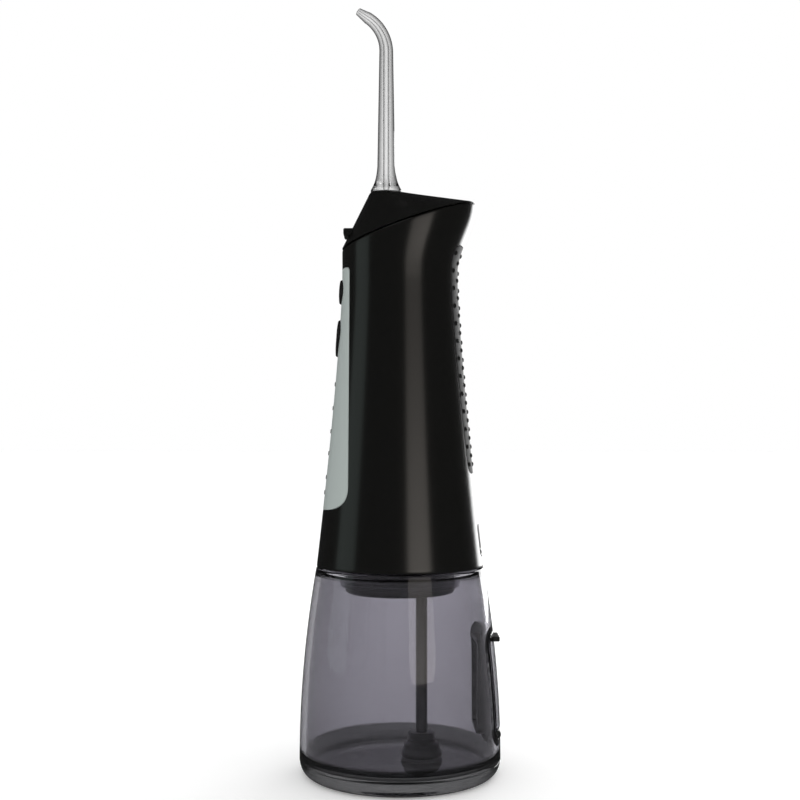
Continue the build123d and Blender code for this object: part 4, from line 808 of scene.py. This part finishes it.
def many(name, stacks):
    """One mesh of equal stacks of rings, given as (pieces, rings, points, 3), each open at its foot."""
    count, rings, around = stacks.shape[:3]
    start = (np.arange(count) * rings * around)[:, None, None]
    ring = np.arange(rings - 1)[None, :, None] * around
    step = np.arange(around)[None, None, :]
    beside = (step + 1) % around
    low, high = start + ring, start + ring + around
    quads = np.stack(np.broadcast_arrays(low + step, low + beside, high + beside, high + step), -1)
    return quad_piece(name, stacks, quads, fill_holes=True)


grip_bumps = many("grip_bumps", bumps())
dress(grip_bumps, SOFT_BLACK, "housing", "soft_black")

# ---------------------------------------------------------------- charging port cover
# A small soft black door low on the back, flush with the skin, covers the charging socket and swings
# down on a steel pin.

port_low = reach("charge_cover", 0, 2)
port_leaf = grown(PORT_OUTLINE, -0.25)
port_leaf[:, 1] = port_leaf[:, 1].clip(port_low + 2.6, None)
port_leaf = even(np.vstack([port_leaf, port_leaf[:1]]), 120)
port_door = inlay("port_door", port_leaf, rear_skin, plate_rows(0.0, 1.15, DOOR_EASE), 3.5)
dress(port_door, SOFT_BLACK, "port_cover", "soft_black", "charge_cover")
pin_x = (reach("charge_cover_pin", 0, 0) + reach("charge_cover_pin", 1, 0)) / 2
pin_z = (reach("charge_cover_pin", 0, 2) + reach("charge_cover_pin", 1, 2)) / 2
port_knuckle = barrel("port_knuckle", pin_x, pin_z, 3.0, 1.2)
dress(port_knuckle, SOFT_BLACK, "port_cover", "soft_black")

# ---------------------------------------------------------------- head cover
# A black cap of straight lines drawn from the sloping rim to a small ring round the nozzle. Its lower edge
# is eased against the shell's rim, and the front has a slot for the release.

NOZZLE_X = -5.0
RING_RADIUS = 5.9
HOLE_RADIUS = 4.95
CREASE_GAP = 0.25
COVER_WALL = 1.8
SLOT_GAP = 0.25
SLOT_FAR, SLOT_NEAR = -24, -13
RING_Z = reach("head_cover", 1, 2)


def ring_point(radius, z):
    """Circle round the nozzle's axis at a height, one point for each angle."""
    x = NOZZLE_X + radius * np.cos(ANGLES)
    return np.stack(np.broadcast_arrays(x, radius * np.sin(ANGLES), z), -1)


def cover_loops():
    """Rings up the ruled slope from the eased crease edge, over the nozzle's ring, down its hole and
    back."""
    rows = []
    for inset, lift in ((COVER_WALL, 0.0), (0.6, 0.0), (0.12, 0.05), (0.0, 0.3)):
        rows.append(oval_point(ANGLES, crease_height(ANGLES, inset, CREASE_GAP + lift), inset))
    start = rows[-1]
    top = ring_point(RING_RADIUS, RING_Z)
    for s in np.linspace(0, 0.985, 40)[1:]:
        rows.append(start + (top - start) * s)
    rows += [ring_point(RING_RADIUS - 0.12, RING_Z - 0.06), ring_point(RING_RADIUS - 0.35, RING_Z)]
    rows += [ring_point(HOLE_RADIUS + 0.2, RING_Z), ring_point(HOLE_RADIUS, RING_Z - 0.2)]
    rows.append(ring_point(HOLE_RADIUS, RING_Z - 4.0))
    return np.stack(rows)


cover = skin_over("head_cap", cover_loops())
tab_low, tab_high = reach("release_button", 0, 2) + 0.3, reach("release_button", 1, 2)
TAB_HALF = 5.5
slot = round_box(TAB_HALF + SLOT_GAP, tab_low - SLOT_GAP, tab_high + SLOT_GAP, 0.5, 80)
cut_out(cover, punch("release_slot", slot, SLOT_FAR, SLOT_NEAR), BED_CRISP)
dress(cover, SATIN_BLACK, "housing", "shell", "head_cover")

# ---------------------------------------------------------------- release tab
# The black tab on the front slope is pressed inwards to free the nozzle. It is an eased bar that ends
# behind the slope.

TAB_BACK = -12.0
tab_front = reach("release_button", 0, 0)
tab = bar(
    "release_tab",
    ((tab_front + TAB_BACK) / 2, 0, (tab_low + tab_high) / 2),
    (TAB_BACK - tab_front, 2 * TAB_HALF, tab_high - tab_low),
    0.55,
)
dress(tab, KEY_BLACK, "latch", "keys", "release_button")

# ---------------------------------------------------------------- nozzle
# The jet is one clear hollow moulding: a stem in a black turning seat, a flared collar, a long taper and a
# bend towards the front that ends in a fine opening.

FLARE_Z = RING_Z + 0.15
FLARE_RADIUS, FLARE_RIM = 5.6, 0.9
SHAFT_Z, SHAFT_RADIUS = 217.0, 3.2
BEND_Z, BEND_RADIUS = 259.0, 2.5
BEND_ARC, BEND_TURN = 15.0, radians(56.0)
TIP_LENGTH, TIP_RADIUS, TIP_BORE = 4.5, 1.3, 0.45
STEM_RADIUS, BORE_RADIUS, BEND_END_RADIUS = 3.8, 1.1, 2.1
SEAT_BORE, SEAT_RADIUS, SEAT_NECK, SEAT_STEP_Z = 3.85, 6.2, 4.8, 198.4
# The edge colour is black: painted shade that draws the nozzle's dark outline and bore edges.
NOZZLE_CLEAR = clear_plastic(
    "nozzle_clear", (0.98, 0.98, 0.98), (0.0, 0.0, 0.0), 0.0, ACRYLIC_INDEX, 0.86, 0.00005
)


def jet_line(s):
    """Centre line at lengths s from the stem's foot, with its heading: upright, then an arc, then
    straight."""
    foot = reach("nozzle", 0, 2)
    straight = BEND_Z - foot
    arc = BEND_ARC * BEND_TURN
    turn = np.clip((s - straight) / BEND_ARC, 0, BEND_TURN)
    beyond = np.clip(s - straight - arc, 0, None)
    x = NOZZLE_X - BEND_ARC * (1 - np.cos(turn)) - beyond * np.sin(turn)
    z = foot + np.minimum(s, straight) + BEND_ARC * np.sin(turn) + beyond * np.cos(turn)
    return x, z, turn


def jet_loops(lengths, radii, count=64):
    """Rings of the given radii square to the centre line at the given lengths."""
    x, z, turn = jet_line(np.array(lengths))
    angle = np.linspace(0, 2 * np.pi, count, endpoint=False)
    across = np.array(radii)[:, None] * np.cos(angle)
    loops = np.empty((len(lengths), count, 3))
    loops[..., 0] = x[:, None] + across * np.cos(turn)[:, None]
    loops[..., 1] = np.array(radii)[:, None] * np.sin(angle)
    loops[..., 2] = z[:, None] + across * np.sin(turn)[:, None]
    return loops


def jet_section():
    """Lengths and radii from the bore's foot, round the outside of the stem, collar, shaft and tip, and
    back down the bore, which narrows through the bend."""
    foot = reach("nozzle", 0, 2)
    bend, end = BEND_Z - foot, BEND_Z - foot + BEND_ARC * BEND_TURN
    flare_top = (FLARE_Z + FLARE_RIM, FLARE_RADIUS)
    collar = bezier(flare_top, (211.0, 3.9), (213.5, 3.5), (SHAFT_Z, SHAFT_RADIUS), count=24)
    lower = eased(
        (0.0, BORE_RADIUS),
        (0.0, STEM_RADIUS, 0.4),
        (FLARE_Z - foot, STEM_RADIUS, 0.2),
        (FLARE_Z - foot, FLARE_RADIUS, 0.3),
        (FLARE_Z - foot + FLARE_RIM, FLARE_RADIUS),
    )
    mouth = end + TIP_LENGTH
    shaft = np.linspace((SHAFT_Z - foot, SHAFT_RADIUS), (bend, BEND_RADIUS), 12)
    curve = np.linspace((bend, BEND_RADIUS), (end, BEND_END_RADIUS), 30)
    tip = eased((end, BEND_END_RADIUS), (mouth, TIP_RADIUS, 0.3), (mouth, TIP_BORE))
    bore = np.linspace((mouth, TIP_BORE), (bend, BORE_RADIUS), 36)
    collar[:, 0] -= foot
    return np.concatenate([lower, collar[1:], shaft[1:], curve[1:], tip[1:], bore[1:]])


lengths, radii = jet_section().T
jet = skin_over("jet_nozzle", jet_loops(lengths, radii))
dress(jet, NOZZLE_CLEAR, "jet", "clear_nozzle", "nozzle")
seat_low = reach("nozzle_seat", 0, 2)
seat = turned(
    "jet_seat",
    eased(
        (SEAT_BORE, seat_low + 0.1),
        (SEAT_RADIUS, seat_low + 0.1, 0.3),
        (SEAT_RADIUS, SEAT_STEP_Z, 0.3),
        (SEAT_NECK, SEAT_STEP_Z, 0.1),
        (SEAT_NECK, RING_Z, 0.3),
        (SEAT_BORE, RING_Z, 0.2),
        (SEAT_BORE, seat_low + 0.2),
    ),
    NOZZLE_X,
    count=96,
)
dress(seat, KEY_BLACK, "seat", "keys", "nozzle_seat")

# ---------------------------------------------------------------- floor, light and camera
# A pale sweep of floor under even light. Tall soft boxes draw the upright streak down the front, the cool
# glow at the left and the bright rim at the right.


def surroundings():
    """Even white for light and sight, and near black for gloss, so that only the soft boxes are
    mirrored. Rays that pass through a clear piece see the white."""
    world = bpy.data.worlds.new("studio")
    bpy.context.scene.world = world
    world.use_nodes = True
    nodes, links = world.node_tree.nodes, world.node_tree.links
    glow, ray = nodes["Background"], nodes.new("ShaderNodeLightPath")
    glow.inputs["Color"].default_value = (1.0, 1.0, 1.0, 1.0)
    level = nodes.new("ShaderNodeMapRange")
    level.inputs["To Min"].default_value = 1.0
    level.inputs["To Max"].default_value = 0.025
    mirrored = nodes.new("ShaderNodeMath")
    mirrored.operation = "SUBTRACT"
    links.new(ray.outputs["Is Glossy Ray"], mirrored.inputs[0])
    links.new(ray.outputs["Is Transmission Ray"], mirrored.inputs[1])
    links.new(mirrored.outputs[0], level.inputs["Value"])
    links.new(level.outputs["Result"], glow.inputs["Strength"])


SOFT_CORNER = 70.0
SOFT_POINTS = 64


def soft_box(name, azimuth, distance, width, low, high, colour, strength, top_share=1.0):
    """Rounded upright panel of light that faces the object's axis, azimuth degrees right of the camera. Its
    strength runs evenly from the foot's to the top's share of it."""
    outline = round_box(width / 2, low, high, SOFT_CORNER, SOFT_POINTS)
    a = radians(azimuth)
    x = distance * np.sin(a) + outline[:, 0] * np.cos(a)
    y = -distance * np.cos(a) + outline[:, 0] * np.sin(a)
    mesh = bpy.data.meshes.new(name)
    mesh.from_pydata(np.stack([x, y, outline[:, 1]], -1) * MM, [], [list(range(SOFT_POINTS))])
    lamp = bpy.data.objects.new(name, mesh)
    bpy.context.scene.collection.objects.link(lamp)
    made = bpy.data.materials.new(name)
    made.use_nodes = True
    tree = made.node_tree
    tree.nodes.clear()
    glow, out = tree.nodes.new("ShaderNodeEmission"), tree.nodes.new("ShaderNodeOutputMaterial")
    glow.inputs["Color"].default_value = (*colour, 1.0)
    kinds = ("NewGeometry", "SeparateXYZ", "MapRange")
    place, height, fade = [tree.nodes.new(f"ShaderNode{kind}") for kind in kinds]
    fade.inputs["From Min"].default_value = low * MM
    fade.inputs["From Max"].default_value = high * MM
    fade.inputs["To Min"].default_value = strength
    fade.inputs["To Max"].default_value = strength * top_share
    tree.links.new(place.outputs["Position"], height.inputs[0])
    tree.links.new(height.outputs["Z"], fade.inputs["Value"])
    tree.links.new(fade.outputs["Result"], glow.inputs["Strength"])
    tree.links.new(glow.outputs[0], out.inputs["Surface"])
    mesh.materials.append(made)
    lamp.visible_camera = False
    lamp.visible_transmission = False
    return lamp


FLOOR_HALF_METRES = 12.0


def pale_floor():
    """Wide level sheet just under the object, in a matt off-white with a faint grain."""
    mesh = bpy.data.meshes.new("floor")
    corners = np.array([(-1, -1, 0), (1, -1, 0), (1, 1, 0), (-1, 1, 0)]) * FLOOR_HALF_METRES
    mesh.from_pydata(corners, [], [(0, 1, 2, 3)])
    sheet = bpy.data.objects.new("floor", mesh)
    bpy.context.scene.collection.objects.link(sheet)
    white, shader = moulded("floor_white", (0.93, 0.93, 0.93), 0.8, grain=200.0)
    shader.inputs["Emission Color"].default_value = (1.0, 1.0, 1.0, 1.0)
    shader.inputs["Emission Strength"].default_value = 0.2
    mesh.materials.append(white)
    sheet.visible_glossy = False


surroundings()
pale_floor()
soft_box("streak_box", 26.0, 700.0, 390.0, 10.0, 420.0, (1.0, 0.93, 0.86), 1.45, 0.05)
soft_box("cool_box", -80.0, 700.0, 400.0, 0.0, 420.0, (0.85, 1.0, 0.95), 0.3)
soft_box("rim_box", 150.0, 700.0, 420.0, 0.0, 420.0, (1.0, 1.0, 1.0), 4.0)
soft_box("top_box", -35.0, 500.0, 500.0, 620.0, 900.0, (1.0, 1.0, 1.0), 0.5)

CAMERA_DISTANCE = 428.0
CAMERA_HEIGHT = 117.9
CAMERA_TILT = 1.93
FOCAL_LENGTH = 53.5
lens = bpy.data.cameras.new("camera")
lens.lens = FOCAL_LENGTH
lens.clip_start = 0.01
camera = bpy.data.objects.new("camera", lens)
camera.location = (0.0, -CAMERA_DISTANCE * MM, CAMERA_HEIGHT * MM)
camera.rotation_euler = (radians(90.0 + CAMERA_TILT), 0.0, 0.0)
bpy.context.scene.collection.objects.link(camera)
bpy.context.scene.camera = camera
bpy.context.scene.view_settings.view_transform = "Standard"
